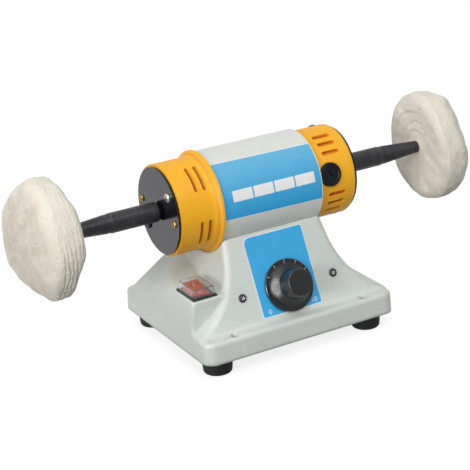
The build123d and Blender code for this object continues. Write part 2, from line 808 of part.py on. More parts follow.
# Coil wound round each pole's neck, curved to lie under the yoke
def field_coils():
    half = core_length / 2 + coil_overhang
    low = pole_bore + pole_shoe_thickness + coil_gap
    coils = []
    for angle in (motor_turn + 90, motor_turn - 90):
        coil = sector(angle - coil_angle / 2, coil_angle, *band(-half, half, low, yoke_bore - coil_gap))
        coils.append(coil - block(radial_plane(0, angle), 0, 0, 0, core_length + 2 * coil_gap,
                                  pole_neck_width + 2 * coil_gap, tube_radius))
    return coils


# Round holder with a square bore for the brush
def brush_holders():
    holders = []
    for angle in (motor_turn, motor_turn + 180):
        plane = radial_plane(brush_x, angle)
        holder = bar(plane, 0, 0, holder_start, brush_cap_floor - holder_start, holder_radius)
        holders.append(holder - block(plane, 0, 0, 0, brush_length + 2 * holder_wall_gap,
                                      brush_width + 2 * holder_wall_gap, tube_radius))
    return holders


# Carbon brush, its end hollowed to the commutator
def carbon_brushes():
    clear = turned(*band(-base_length, base_length, 0, commutator_radius + brush_gap))
    return [block(radial_plane(brush_x, angle), 0, 0, 0, brush_length, brush_width, brush_back) - clear
            for angle in (motor_turn, motor_turn + 180)]


# Coil spring between brush and cap, drawn as its stacked turns
def brush_springs():
    pitch = (brush_cap_floor - brush_back) / spring_turns
    points = [(spring_radius - 2 * spring_wire, brush_back)]
    for turn in range(spring_turns):
        points.append((spring_radius - spring_wire, brush_back + turn * pitch))
        points.append((spring_radius, brush_back + (turn + 1 / 2) * pitch))
    points.append((spring_radius - spring_wire, brush_cap_floor))
    points.append((spring_radius - 2 * spring_wire, brush_cap_floor))
    spring = revolve(Plane.XZ * make_face(Polyline(*points, close=True)), Axis.Z)
    return [radial_plane(brush_x, angle) * spring for angle in (motor_turn, motor_turn + 180)]


# Black screw cap over each brush, with a slot for a screwdriver
def brush_caps():
    caps = []
    for angle in (motor_turn, motor_turn + 180):
        plane = radial_plane(brush_x, angle)
        cap = bar(plane, 0, 0, brush_cap_floor, brush_cap_thickness, brush_cap_radius)
        rim = cap.faces().sort_by(Axis(plane.origin, plane.z_dir))[-1].edges()
        cap = fillet(rim, brush_cap_slot_width / 2)
        slot = brush_cap_floor + brush_cap_thickness - brush_cap_slot_depth
        caps.append(cap - block(plane, 0, 0, slot, brush_cap_slot_width, brush_cap_slot_length,
                                2 * brush_cap_slot_depth))
    return caps


def motor_shaft():
    left_seat = left_face + bearing_width
    right_seat = right_face - bearing_width
    return turned((shaft_left_end, 0), (shaft_left_end, shaft_radius), (left_seat, shaft_radius),
                  (left_seat, shaft_body_radius), (right_seat, shaft_body_radius),
                  (right_seat, shaft_radius), (shaft_right_end, shaft_radius), (shaft_right_end, 0))


# Laminated armature core with open slots
def armature_core():
    half = core_length / 2
    core = turned(*band(-half, half, shaft_seat, armature_radius))
    for index in range(armature_slots):
        plane = radial_plane(0, index * 360 / armature_slots)
        core -= block(plane, 0, 0, armature_radius - armature_slot_depth, 2 * core_length,
                      armature_slot_width, 2 * armature_slot_depth)
    return core


# Armature winding: bars in the slots, joined by the end turns
def armature_windings():
    half = core_length / 2 + slot_insulation
    end = half + winding_overhang
    round_off = winding_overhang / 3
    outer = winding_outer_radius
    inner = winding_inner_radius
    winding = None
    for side in (-1, 1):
        turns = turned((side * half, inner), (side * end, inner), (side * end, outer - round_off),
                       (side * (end - round_off), outer), (side * half, outer))
        winding = turns if winding is None else winding + turns
    for index in range(armature_slots):
        plane = radial_plane(0, index * 360 / armature_slots)
        low = armature_radius - armature_slot_depth + slot_insulation
        winding += block(plane, 0, 0, low, 2 * half + round_off, armature_slot_width - 2 * slot_insulation,
                         outer - 2 * slot_insulation - low)
    return winding


# Copper commutator with a groove between its bars
def commutator():
    low = brush_x - commutator_length / 2
    body = turned(*band(low, low + commutator_length, shaft_seat, commutator_radius))
    for index in range(commutator_bars):
        plane = radial_plane(brush_x, index * 360 / commutator_bars)
        body -= block(plane, 0, 0, commutator_radius - commutator_groove, 2 * commutator_length,
                      commutator_groove, 2 * commutator_groove)
    return body


# Fan on the shaft behind the left cap's vents: a disc with straight blades
def cooling_fan():
    back = left_face + bearing_width + bearing_lip + fan_clearance + fan_disc
    tips = back + fan_blade_height
    fan = turned(*band(back - fan_disc, back, shaft_seat, fan_radius))
    fan += turned(*band(back - fan_disc, tips, shaft_seat, fan_hub_radius))
    root = fan_hub_radius - fan_blade_thickness
    for index in range(fan_blades):
        plane = radial_plane((tips + back - fan_disc) / 2, index * 360 / fan_blades)
        fan += block(plane, 0, 0, root, fan_blade_height + fan_disc, fan_blade_thickness, fan_radius - root)
    return fan


# Spindle: a sleeve over the shaft's end, with a long taper that a buff screws on to
def spindle(start, shaft_end, side):
    step = start + side * spindle_length
    tip = step + side * taper_length
    bore = shaft_radius + spindle_clearance
    bore_end = shaft_end + side * spindle_bore_room
    radius = spindle_radius
    body = turned((start, bore), (start, radius - spindle_chamfer), (start + side * spindle_chamfer, radius),
                  (step, radius), (step, radius - spindle_shoulder_step), (tip, taper_tip_radius),
                  (tip, 0), (bore_end, 0), (bore_end, bore))
    grub = start + side * grub_inset
    return body - bar(radial_plane(grub, 180), 0, 0, 0, 2 * spindle_radius, grub_radius)


def grub_screws():
    screws = []
    for start, side in ((spindle_left, -1), (spindle_right, 1)):
        plane = radial_plane(start + side * grub_inset, 180)
        low = shaft_radius + screw_clearance
        length = spindle_radius - 2 * screw_clearance - low
        plug = bar(plane, 0, 0, low, length, grub_radius - screw_clearance)
        socket = extrude(RegularPolygon(grub_radius / 2, 6, major_radius=False), grub_radius)
        screws.append(plug - plane * Pos(0, 0, low + length - grub_radius / 2) * socket)
    return screws


# Cloth buff: a thick soft disc with round edges and dished faces, screwed on to the taper
def buff(start, side):
    near = start + side * (spindle_length + buff_setback)
    far = near + side * buff_thickness
    shrink = (spindle_radius - spindle_shoulder_step - taper_tip_radius) / taper_length
    near_hole = spindle_radius - spindle_shoulder_step - shrink * buff_setback + buff_clearance
    tip = start + side * (spindle_length + taper_length + buff_clearance)
    tip_hole = taper_tip_radius + buff_clearance
    outline = [(near + side * buff_dish, near_hole), (near, buff_dish_radius), (near, buff_radius),
               (far, buff_radius), (far, buff_dish_radius), (far - side * buff_dish, 0), (tip, 0),
               (tip, tip_hole)]
    corners = [(station, axis_height + radius) for station, radius in outline]
    section = make_face(Polyline(*corners, close=True))
    section = fillet(section.vertices().group_by(Axis.Y)[-1], buff_edge_radius)
    return revolve(Plane.XZ * section, motor_axis)


def front_screws():
    return [screw(front_plane, u, 0, 0, front_screw_head_radius, front_screw_head_height, front_screw_radius,
                  front_screw_length) for u in (-front_screw_spread, front_screw_spread)]


# Metal strip behind the front face, held by the front screws
def control_bracket():
    bracket = block(front_plane, 0, 0, -bracket_back, bracket_length, bracket_height, bracket_thickness)
    for u in (-front_screw_spread, front_screw_spread):
        bracket -= bar(front_plane, u, 0, -2 * bracket_back, 2 * bracket_back, front_hole_radius)
    return bracket - bar(front_plane, 0, 0, -2 * bracket_back, 2 * bracket_back, pot_hole_radius)


# Potentiometer: a round can behind the bracket with a threaded bush through the housing
def potentiometer():
    can = bar(front_plane, 0, 0, -bracket_back - pot_depth, pot_depth, pot_radius)
    can += bar(front_plane, 0, 0, -bracket_back, pot_bush_length, pot_bush_radius)
    bore = pot_shaft_radius + pot_running_clearance
    floor = -pot_shaft_depth - pot_running_clearance
    return can - bar(front_plane, 0, 0, floor, 2 * pot_shaft_depth + knob_height, bore)


def potentiometer_nut():
    return hex_nut(front_plane, 0, 0, 0, pot_nut_width, pot_nut_height, pot_hole_radius)


def potentiometer_shaft():
    length = pot_shaft_depth + knob_face_gap + knob_bore_depth
    return bar(front_plane, 0, 0, -pot_shaft_depth, length, pot_shaft_radius)


# Knob: a thin dial skirt, a short flared neck and a narrower grip
def speed_knob():
    flare = knob_face_gap + knob_skirt_thickness
    grip = flare + knob_flare_height
    top = knob_face_gap + knob_height
    neck = Cone(knob_flare_radius, knob_grip_radius, knob_flare_height, align=rising)
    cap = front_plane * Pos(0, 0, grip) * Cone(knob_grip_radius, knob_top_radius, top - grip, align=rising)
    upward = Axis(front_plane.origin, front_plane.z_dir)
    cap = fillet(cap.faces().sort_by(upward)[-1].edges(), knob_edge_radius)
    knob = bar(front_plane, 0, 0, knob_face_gap, knob_skirt_thickness, knob_skirt_radius)
    knob += front_plane * Pos(0, 0, flare) * neck + cap
    knob -= bar(front_plane, 0, 0, knob_face_gap, knob_recess_depth, knob_recess_radius)
    bore = pot_shaft_radius + pot_running_clearance
    return knob - bar(front_plane, 0, 0, 0, knob_face_gap + knob_bore_depth, bore)


def board_spacers():
    return [bar(front_plane, u, v, -board_front, spacer_length, spacer_radius)
            for u in (-spacer_spread_x / 2, spacer_spread_x / 2)
            for v in (-spacer_spread_y / 2, spacer_spread_y / 2)]


def control_board():
    back = -board_front - board_thickness
    return block(front_plane, 0, 0, back, board_length, board_height, board_thickness)


# Parts soldered to the back of the board: a film capacitor, a choke, a switching device and terminals
def board_components():
    back = -board_front - board_thickness
    choke = bar(front_plane, *choke_place, back - choke_height, choke_height, choke_radius)
    choke -= bar(front_plane, *choke_place, back - choke_height, choke_height, choke_hole_radius)
    blocks = ((capacitor_place, capacitor_size), (device_place, device_size),
              (terminal_place, terminal_size))
    return [choke] + [block(front_plane, *place, back - size[-1], *size) for place, size in blocks]


# Rocker switch: a bezel on the pad, a box below it and flat terminals
def switch_body():
    frame = block(switch_plane, 0, 0, 0, bezel_width, bezel_length, bezel_height)
    frame = fillet(frame.faces().sort_by(Axis.Z)[-1].edges(), bezel_height / 3)
    body = frame + switch_box(0, switch_depth)
    width = bezel_width - 2 * bezel_rim - 2 * switch_wall
    length = bezel_length - 2 * bezel_rim - 2 * switch_wall
    body -= block(switch_plane, 0, 0, -switch_depth / 2, width, length, switch_depth)
    seat = rocker_pin_radius + rocker_pin_clearance
    body -= rocker_pin(width + switch_wall + 2 * rocker_pin_end_gap, seat)
    for v in (-length / 3, 0, length / 3):
        body += block(switch_plane, 0, v, -switch_depth - switch_tab_length, switch_tab_width,
                      switch_tab_thickness, switch_tab_length)
    return body


# Bar along the rocker's pivot
def rocker_pin(length, radius):
    return switch_plane * Pos(0, 0, rocker_pivot) * Rot(0, 90, 0) * Cylinder(radius, length)


# Red rocker, tipped back on its pivot
def switch_rocker():
    width = bezel_width - 2 * bezel_rim - 2 * switch_wall - 2 * rocker_gap
    half = bezel_length / 2 - bezel_rim - switch_wall - rocker_gap
    keel = half / 3
    outline = Polyline((-half, rocker_rise), (0, rocker_hollow), (half, rocker_rise), (half, -rocker_hollow),
                       (keel, -rocker_rise), (-keel, -rocker_rise), (-half, -rocker_hollow), close=True)
    rocker = extrude(Plane.YZ * make_face(outline), width / 2, both=True)
    rocker = switch_plane * Pos(0, 0, rocker_pivot) * Rot(rocker_tilt, 0, 0) * rocker
    return rocker + rocker_pin(width + 2 * rocker_gap + switch_wall, rocker_pin_radius)


# Clear splash cover over the rocker, thin all over
def switch_cover():
    shell = extrude(cover_plan(0), cover_height, taper=cover_taper)
    shell = fillet(shell.faces().sort_by(Axis.Z)[-1].edges(), cover_wall)
    room = extrude(cover_plan(cover_wall), cover_height - cover_wall, taper=cover_taper)
    return switch_plane * Pos(0, 0, bezel_height) * (shell - room)


def cover_plan(inset):
    width = bezel_width - 2 * cover_edge - 2 * inset
    length = bezel_length - 2 * cover_edge - 2 * inset
    return RectangleRounded(width, length, cover_corner - inset)


# Cord inlet: a flanged bush through the sloped back with a dome outside and a nut inside
def cord_gland():
    body = bar(gland_plane, 0, 0, 0, gland_flange_thickness, gland_flange_radius)
    body += gland_plane * Pos(0, 0, gland_flange_thickness) * Cone(
        gland_dome_radius, gland_tip_radius, gland_dome_length, align=rising)
    inner = housing_wall + gland_nut_height
    body += bar(gland_plane, 0, 0, -inner, inner, gland_body_radius)
    return body - bar(gland_plane, 0, 0, -base_width, 2 * base_width, gland_bore_radius)


def gland_nut():
    return hex_nut(gland_plane, 0, 0, -housing_wall - gland_nut_height, gland_nut_width, gland_nut_height,
                   gland_body_radius + gland_clearance)


nodes = {
    "base_housing": base_housing(),
    "bottom_plate": bottom_plate(),
    "rubber_feet": rubber_feet(),
    "foot_screws": foot_screws(),
    "motor_tube": motor_tube(),
    "motor_bolts": motor_bolts(),
    "motor_nuts": motor_nuts(),
    "left_end_cap": left_end_cap(),
    "right_end_cap": right_end_cap(),
    "left_end_plate": end_plate(left_face, -1),
    "right_end_plate": end_plate(right_face, 1),
    "plate_bolts": plate_bolts(),
    "plate_screws": plate_screws(),
    "cap_screws": cap_screws(),
    "bearing_outer_rings": bearing_outer_rings(),
    "bearing_inner_rings": bearing_inner_rings(),
    "field_core": field_core(),
    "field_coils": field_coils(),
    "brush_holders": brush_holders(),
    "carbon_brushes": carbon_brushes(),
    "brush_springs": brush_springs(),
    "brush_caps": brush_caps(),
    "motor_shaft": motor_shaft(),
    "armature_core": armature_core(),
    "armature_windings": armature_windings(),
    "commutator": commutator(),
    "cooling_fan": cooling_fan(),
    "left_spindle": spindle(spindle_left, shaft_left_end, -1),
    "right_spindle": spindle(spindle_right, shaft_right_end, 1),
    "grub_screws": grub_screws(),
    "left_buff": buff(spindle_left, -1),
    "right_buff": buff(spindle_right, 1),
    "front_screws": front_screws(),
    "control_bracket": control_bracket(),
    "potentiometer": potentiometer(),
    "potentiometer_nut": potentiometer_nut(),
    "potentiometer_shaft": potentiometer_shaft(),
    "speed_knob": speed_knob(),
    "board_spacers": board_spacers(),
    "control_board": control_board(),
    "board_components": board_components(),
    "switch_body": switch_body(),
    "switch_rocker": switch_rocker(),
    "switch_cover": switch_cover(),
    "cord_gland": cord_gland(),
    "gland_nut": gland_nut(),
}

os.makedirs("parts", exist_ok=True)
for name, shape in nodes.items():
    solids = [solid for piece in (shape if isinstance(shape, list) else [shape]) for solid in piece.solids()]
    export_step(Compound(children=solids) if len(solids) > 1 else solids[0], f"parts/{name}.step")
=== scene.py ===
from math import atan2, cos, degrees, exp, hypot, pi, radians, sin, tan

import bmesh
import bpy
from mathutils import Matrix, Vector
from mathutils.noise import noise


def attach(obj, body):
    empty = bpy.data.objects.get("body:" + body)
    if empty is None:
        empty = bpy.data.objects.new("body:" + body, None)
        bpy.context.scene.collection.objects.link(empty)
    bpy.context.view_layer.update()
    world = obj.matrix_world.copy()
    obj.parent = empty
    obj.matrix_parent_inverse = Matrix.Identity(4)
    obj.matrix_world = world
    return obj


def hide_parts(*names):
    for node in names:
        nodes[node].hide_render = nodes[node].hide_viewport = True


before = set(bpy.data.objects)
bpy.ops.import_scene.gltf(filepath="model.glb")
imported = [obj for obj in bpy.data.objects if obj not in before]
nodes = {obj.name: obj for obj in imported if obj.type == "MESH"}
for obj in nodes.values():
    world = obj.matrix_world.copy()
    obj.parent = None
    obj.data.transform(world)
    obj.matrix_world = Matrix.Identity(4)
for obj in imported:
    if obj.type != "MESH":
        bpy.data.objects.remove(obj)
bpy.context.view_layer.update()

# Bench polisher: light grey housing, motor in yellow caps, black tapered spindles, cotton buffs.
# Sizes in the dictionaries are millimetres and degrees, the scene itself is in metres.
mm = 0.001
scene = bpy.context.scene
motorAxis = Vector((0, 0, 115.7)) * mm
fullTurn = 2 * pi
pieces = []


def linear(hexCode):  # sRGB hex to the linear colour that a socket takes
    parts = [int(hexCode[i:i + 2], 16) / 255 for i in (1, 3, 5)]
    return [c / 12.92 if c <= 0.04045 else ((c + 0.055) / 1.055) ** 2.4 for c in parts] + [1.0]


def addNode(tree, kind, inputs=None, out=0, **settings):  # gives back one output of the new node
    node = tree.nodes.new("ShaderNode" + kind)
    for key, value in settings.items():
        setattr(node, key, value)
    for key, value in (inputs or {}).items():
        if isinstance(value, bpy.types.NodeSocket):
            tree.links.new(value, node.inputs[key])
        else:
            node.inputs[key].default_value = value
    return node.outputs[out]


def wire(shader, **sources):  # links patterns to a shader's sockets
    for key, source in sources.items():
        shader.id_data.links.new(source, shader.inputs[key.replace("_", " ")])


def perMetre(size):  # noise scale for a pattern of that size in millimetres
    return 1000 / size


def waveScale(size):  # wave scale for bands that far apart, which are 314 mm apart at scale 1
    return 314 / size


def startMaterial(name, **sockets):
    material = bpy.data.materials.new(name)
    material.use_nodes = True
    tree = material.node_tree
    shader = tree.nodes["Principled BSDF"]
    for key, value in sockets.items():
        shader.inputs[key.replace("_", " ")].default_value = value
    return material, tree, shader, addNode(tree, "TexCoord", out="Object")


# Sprayed, moulded and plated finishes: slow patches of colour, a fine grain in the surface
# and a gloss that is a little uneven
def makeFinish(name, look):
    material, tree, shader, where = startMaterial(name, **look.get("sockets", {}))
    patchSize, grainSize, depth = look["sizes"]
    smooth, rough = look["gloss"]
    dark, light = [linear(tone) for tone in look["tones"]]
    drawn = addNode(tree, "Mapping", {"Vector": where, "Scale": look.get("stretch", (1, 1, 1))})
    patches = addNode(tree, "TexNoise", {
        "Vector": where, "Scale": perMetre(patchSize), "Detail": 4.0, "Roughness": 0.6})
    grain = addNode(tree, "TexNoise", {
        "Vector": drawn, "Scale": perMetre(grainSize), "Detail": 3.0, "Roughness": 0.55})
    blend = addNode(tree, "Math", {0: patches, 1: grain}, operation="MULTIPLY")
    spread = addNode(tree, "MapRange", {"Value": blend, "From Min": 0.12, "From Max": 0.4})
    colour = addNode(tree, "Mix", {0: spread, 6: dark, 7: light}, out=2, data_type="RGBA")
    gloss = addNode(tree, "MapRange", {
        "Value": patches, "From Min": 0.3, "From Max": 0.7, "To Min": smooth, "To Max": rough})
    relief = {"Height": grain, "Strength": 0.5, "Distance": depth * mm}
    tints = []  # share and colour of what lies over the paint
    if "vents" in look:  # painted shade: the colour goes brown down in the vents, by depth under the cap's outside, and the gloss goes rough there
        vent = look["vents"]
        spoke = addNode(tree, "VectorMath", {0: where, 1: motorAxis}, operation="SUBTRACT")
        spoke = addNode(tree, "VectorMath", {0: spoke, 1: (0, 1, 1)}, operation="MULTIPLY")
        spoke = addNode(tree, "VectorMath", {0: spoke}, out="Value", operation="LENGTH")
        deep = addNode(tree, "MapRange", {
            "Value": spoke, "From Min": (vent["radius"] - vent["bottom"]) * mm,
            "From Max": (vent["radius"] - vent["top"]) * mm, "To Min": 1.0, "To Max": 0.0})
        station = addNode(tree, "SeparateXYZ", {0: where}, out="X")
        inside = addNode(tree, "Math", {
            0: station, 1: vent["middle"] * mm, 2: vent["reach"] * mm}, operation="COMPARE")
        share = addNode(tree, "Math", {0: deep, 1: inside}, operation="MULTIPLY")
        gloss = addNode(tree, "Mix", {0: share, 2: gloss, 3: vent["deepRoughness"]})
        tints.append((share, vent["colour"]))
    if "hollow" in look:  # painted shade: a soft darker line in the hollow under the cap's rim
        hollow = look["hollow"]
        station = addNode(tree, "SeparateXYZ", {0: where}, out="X")
        off = addNode(tree, "Math", {0: station, 1: hollow["middle"] * mm}, operation="SUBTRACT")
        off = addNode(tree, "Math", {0: off}, operation="ABSOLUTE")
        line = addNode(tree, "MapRange", {
            "Value": off, "From Max": hollow["reach"] * mm, "To Min": hollow["share"], "To Max": 0.0},
            interpolation_type="SMOOTHSTEP")
        tints.append((line, hollow["colour"]))
    if "sheenFade" in look:  # painted sheen: the print goes paler towards the top of the tube, where the light falls on it
        sheenFade = look["sheenFade"]
        level = addNode(tree, "SeparateXYZ", {0: where}, out="Z")
        pale = addNode(tree, "MapRange", {
            "Value": level, "From Min": sheenFade["low"] * mm, "From Max": sheenFade["high"] * mm})
        tints.append((pale, sheenFade["colour"]))
    for share, tint in tints:
        colour = addNode(tree, "Mix", {0: share, 6: colour, 7: linear(tint)}, out=2, data_type="RGBA")
    if "round" in look:  # thick enamel rounds off creases
        relief["Normal"] = addNode(tree, "Bevel", {"Radius": look["round"] * mm}, samples=8)
    wire(shader, Base_Color=colour, Roughness=gloss, Normal=addNode(tree, "Bump", relief))
    return material


# tones are the darkest and lightest colour, sizes those of a patch, of the grain and of its depth
metal = {"Metallic": 1.0}
yellowEnamel = {"tones": ("#eaa60d", "#f1b017"), "gloss": (0.48, 0.58), "sizes": (30, 0.9, 0.018)}
printedFilm = {"gloss": (0.26, 0.34), "sizes": (20, 1.0, 0.004)}
finishes = {
    # stove enamel on the cast housing: satin, with a faint orange peel
    "greyEnamel": {"tones": ("#c2c8c2", "#ced4ce"), "gloss": (0.36, 0.46), "sizes": (45, 1.1, 0.02),
        "round": 4.0},
    # the same enamel on the rolled tube, smoother and a little whiter
    "tubeEnamel": {"tones": ("#cdd1c9", "#d6d9d3"), "gloss": (0.3, 0.38), "sizes": (50, 1.4, 0.012)},
    # yellow enamel on the end caps, with painted shade: brown deep in the vents and darker in the hollow
    # under the left cap's rim
    "leftYellow": {**yellowEnamel, "vents": {"radius": 35.6, "top": 0.8, "bottom": 1.8, "middle": -57.0,
        "reach": 7.0, "colour": "#a85600", "deepRoughness": 0.95},
        "hollow": {"middle": -47.1, "reach": 2.2, "share": 0.7, "colour": "#c68206"}},
    "rightYellow": {**yellowEnamel, "vents": {"radius": 35.75, "top": 0.8, "bottom": 2.4, "middle": 58.4,
        "reach": 9.0, "colour": "#c67000", "deepRoughness": 0.95}},
    # phenolic laminate of the end plates: black and glossy, so it mirrors the room
    "blackLaminate": {"tones": ("#0c0c0e", "#131316"), "gloss": (0.1, 0.16), "sizes": (25, 1.2, 0.002),
        "sockets": {"IOR": 1.5, "Specular Tint": linear("#e2e4f4")}},
    # blackened steel: dark, oily satin, with fine rings from the lathe
    "blackSteel": {"tones": ("#2c2c2f", "#424246"), "gloss": (0.34, 0.46), "sizes": (12, 0.8, 0.02),
        "stretch": (1, 0.06, 0.06), "sockets": {"Metallic": 0.55}},
    # zinc plate: bright, with a bluish cast and soft spangle
    "zincPlate": {"tones": ("#a2a6aa", "#c3c6c8"), "gloss": (0.26, 0.42), "sizes": (6, 0.7, 0.008),
        "sockets": metal},
    # nickel plated screws: warmer and smoother than zinc
    "nickelPlate": {"tones": ("#a2a2a0", "#c2c1bd"), "gloss": (0.28, 0.38), "sizes": (4, 0.5, 0.006),
        "sockets": metal},
    # ground shaft steel, lines run round the shaft
    "groundSteel": {"tones": ("#9a9b9d", "#bdbec0"), "gloss": (0.18, 0.3), "sizes": (10, 0.6, 0.01),
        "stretch": (1, 0.05, 0.05), "sockets": metal},
    # hardened bearing rings, polished
    "bearingSteel": {"tones": ("#aeb0b3", "#cfd1d3"), "gloss": (0.08, 0.16), "sizes": (8, 0.6, 0.003),
        "sockets": metal},
    # turned brass, slightly dulled
    "turnedBrass": {"tones": ("#957539", "#ba9650"), "gloss": (0.34, 0.46), "sizes": (5, 0.5, 0.008),
        "sockets": metal},
    # copper commutator bars, burnished by the brushes
    "bareCopper": {"tones": ("#9c5a34", "#c67f50"), "gloss": (0.2, 0.36), "sizes": (6, 0.5, 0.008),
        "stretch": (1, 0.08, 0.08), "sockets": metal},
    # rubber feet: soft black with a dusty bloom
    "footRubber": {"tones": ("#0c0c0d", "#161617"), "gloss": (0.5, 0.66), "sizes": (9, 0.6, 0.03),
        "sockets": {"Specular IOR Level": 0.3}},
    # moulded phenolic of the knob: black, half gloss, with a fine flow mark
    "blackPhenolic": {"tones": ("#0a0b0d", "#111215"), "gloss": (0.2, 0.28), "sizes": (8, 0.8, 0.008),
        "sockets": {"IOR": 1.6}},
    # the same of the brush caps, dull from handling
    "dullPhenolic": {"tones": ("#0c0d10", "#14161a"), "gloss": (0.4, 0.5), "sizes": (6, 0.8, 0.012),
        "sockets": {"Specular IOR Level": 0.2}},
    # nylon of the fan, the cord inlet and the switch frame: black, with a silky sheen
    "blackNylon": {"tones": ("#121214", "#1c1c1f"), "gloss": (0.34, 0.48), "sizes": (10, 0.5, 0.015)},
    # brown phenolic of the brush holders, mottled
    "brownPhenolic": {"tones": ("#3c2316", "#573421"), "gloss": (0.34, 0.46), "sizes": (5, 0.6, 0.015)},
    # pressed carbon of the brushes: dull, sooty
    "pressedCarbon": {"tones": ("#17171a", "#26262a"), "gloss": (0.5, 0.66), "sizes": (3, 0.4, 0.02)},
    # rolled aluminium of the bracket and the potentiometer's can: pale, with lines along the sheet
    "rolledAluminium": {"tones": ("#b4b6b9", "#d2d4d6"), "gloss": (0.3, 0.42), "sizes": (12, 0.7, 0.01),
        "stretch": (0.06, 1, 1), "sockets": metal},
    # glass epoxy board under green solder mask, with the weave just showing
    "greenMask": {"tones": ("#123f26", "#1f6a3c"), "gloss": (0.28, 0.4), "sizes": (7, 0.9, 0.01)},
    # epoxy cases of the board's parts: dark, half gloss
    "darkEpoxy": {"tones": ("#15161a", "#24252b"), "gloss": (0.3, 0.46), "sizes": (6, 0.5, 0.012)},
    # red switch plastic, slightly milky
    "redPlastic": {"tones": ("#b83628", "#c64434"), "gloss": (0.24, 0.34), "sizes": (6, 0.6, 0.006)},
    # printed vinyl film of the labels: even, with a soft sheen; on the motor's a painted sheen makes the
    # print paler towards the top
    "blueFilm": {**printedFilm, "tones": ("#34a3da", "#39a8df")},
    "motorFilm": {**printedFilm, "tones": ("#179bd6", "#1ca0db"),
        "sheenFade": {"low": 109.0, "high": 148.0, "colour": "#5eabd1"}},
    "whiteFilm": {"tones": ("#e2e4e3", "#ecedec"), "gloss": (0.28, 0.38), "sizes": (10, 0.8, 0.004)},
    # edges of blackened steel that handling has worn bright
    "wornSteel": {"tones": ("#4c4c4e", "#6c6c6e"), "gloss": (0.3, 0.4), "sizes": (5, 0.6, 0.006),
        "sockets": metal},
    # white filling paint in engraved marks: chalky
    "markPaint": {"tones": ("#cfcfca", "#dededa"), "gloss": (0.45, 0.55), "sizes": (3, 0.3, 0.006)},
}
finish = {name: makeFinish(name, look) for name, look in finishes.items()}

# Metal in fine parallel bands
banded = {
    # lamination stacks: thin sheets pressed together, so lines run round them across the shaft.
    # Real sheets are 0.5 mm, too fine to show
    "coreSteel": {"band": 1.0, "tones": ("#3a3b3f", "#66686d"), "metallic": 0.9, "gloss": 0.42,
        "bends": (0.4, 1.0, 3.0), "strength": 0.4, "depth": 0.08, "run": "X"},
    # wound copper wire under brown lacquer: close strands side by side
    "copperWire": {"band": 0.8, "tones": ("#7d4322", "#b8713f"), "metallic": 0.8, "gloss": 0.34,
        "bends": (3.0, 2.0, 1.4), "strength": 0.8, "depth": 0.2, "run": "DIAGONAL"},
}
for name, look in banded.items():
    finish[name], tree, shader, where = startMaterial(name, Metallic=look["metallic"],
                                                      Roughness=look["gloss"])
    dark, light = [linear(tone) for tone in look["tones"]]
    amount, detail, detailScale = look["bends"]
    bands = addNode(tree, "TexWave", {
        "Vector": where, "Scale": waveScale(look["band"]), "Distortion": amount, "Detail": detail,
        "Detail Scale": detailScale}, out="Fac", bands_direction=look["run"])
    colour = addNode(tree, "Mix", {0: bands, 6: dark, 7: light}, out=2, data_type="RGBA")
    bump = addNode(tree, "Bump", {
        "Height": bands, "Strength": look["strength"], "Distance": look["depth"] * mm})
    wire(shader, Base_Color=colour, Normal=bump)

# Clear silicone rubber of the switch's splash cover: soft, slightly milky and uneven
silicone = {"colour": "#f4f8f8", "ripple": 7, "haze": 0.12, "depth": 0.05}
finish["clearSilicone"], tree, shader, where = startMaterial(
    "clearSilicone", Transmission_Weight=0.96, IOR=1.41, Base_Color=linear(silicone["colour"]))
ripple = addNode(tree, "TexNoise", {"Vector": where, "Scale": perMetre(silicone["ripple"]), "Detail": 2.0})
haze = addNode(tree, "MapRange", {"Value": ripple, "To Max": silicone["haze"]})
bump = addNode(tree, "Bump", {"Height": ripple, "Strength": 0.2, "Distance": silicone["depth"] * mm})
wire(shader, Roughness=haze, Normal=bump)

# Unbleached cotton flannel: a soft nap over a plain weave. The rim is whiter than the faces, the right buff
# paler all over, and the gaps between plies are greyer with painted shade
flannel = {"thread": 1.3, "nap": 2.2, "stainSize": 13, "weaveShare": 0.3, "depth": 0.45, "face": "#d9d1c4",
           "stained": "#ccc1b1", "fluff": "#b0a390", "paler": "#ebe3d4", "rim": "#d8d3c5", "gap": "#b4ad9f"}
finish["cottonFlannel"], tree, shader, where = startMaterial("cottonFlannel", Roughness=0.92,
                                                             Sheen_Weight=0.2, Sheen_Roughness=0.5)
stain = addNode(tree, "TexNoise", {"Vector": where, "Scale": perMetre(flannel["stainSize"]), "Detail": 3.0})
nap = addNode(tree, "TexNoise", {
    "Vector": where, "Scale": perMetre(flannel["nap"]), "Detail": 5.0, "Roughness": 0.65})
# threads are really about 0.6 mm apart, drawn coarser so that they show
weft, warp = [addNode(tree, "TexWave", {"Vector": where, "Scale": waveScale(flannel["thread"]),
                                        "Distortion": 1.2, "Detail": 2.0}, out="Fac", bands_direction=run)
              for run in ("Y", "Z")]
weave = addNode(tree, "Math", {0: weft, 1: warp}, operation="MULTIPLY")
shares = {"stained": addNode(tree, "MapRange", {"Value": stain, "From Min": 0.4, "From Max": 0.66}),
          "fluff": addNode(tree, "MapRange", {"Value": nap, "From Min": 0.28, "From Max": 0.45,
                                              "To Min": 0.8, "To Max": 0.0})}
for tone in ("paler", "rim", "gap"):  # these come from the buff's own vertices
    shares[tone] = addNode(tree, "Attribute", out="Fac", attribute_name=tone + "Share")
colour = linear(flannel["face"])
for tone, share in shares.items():  # each tone goes over the ones before it
    colour = addNode(tree, "Mix", {0: share, 6: colour, 7: linear(flannel[tone])}, out=2, data_type="RGBA")
height = addNode(tree, "Math", {0: weave, 1: flannel["weaveShare"], 2: nap}, operation="MULTIPLY_ADD")
bump = addNode(tree, "Bump", {"Height": height, "Strength": 0.5, "Distance": flannel["depth"] * mm})
wire(shader, Base_Color=colour, Normal=bump)
print("finishes made:", len(finish))

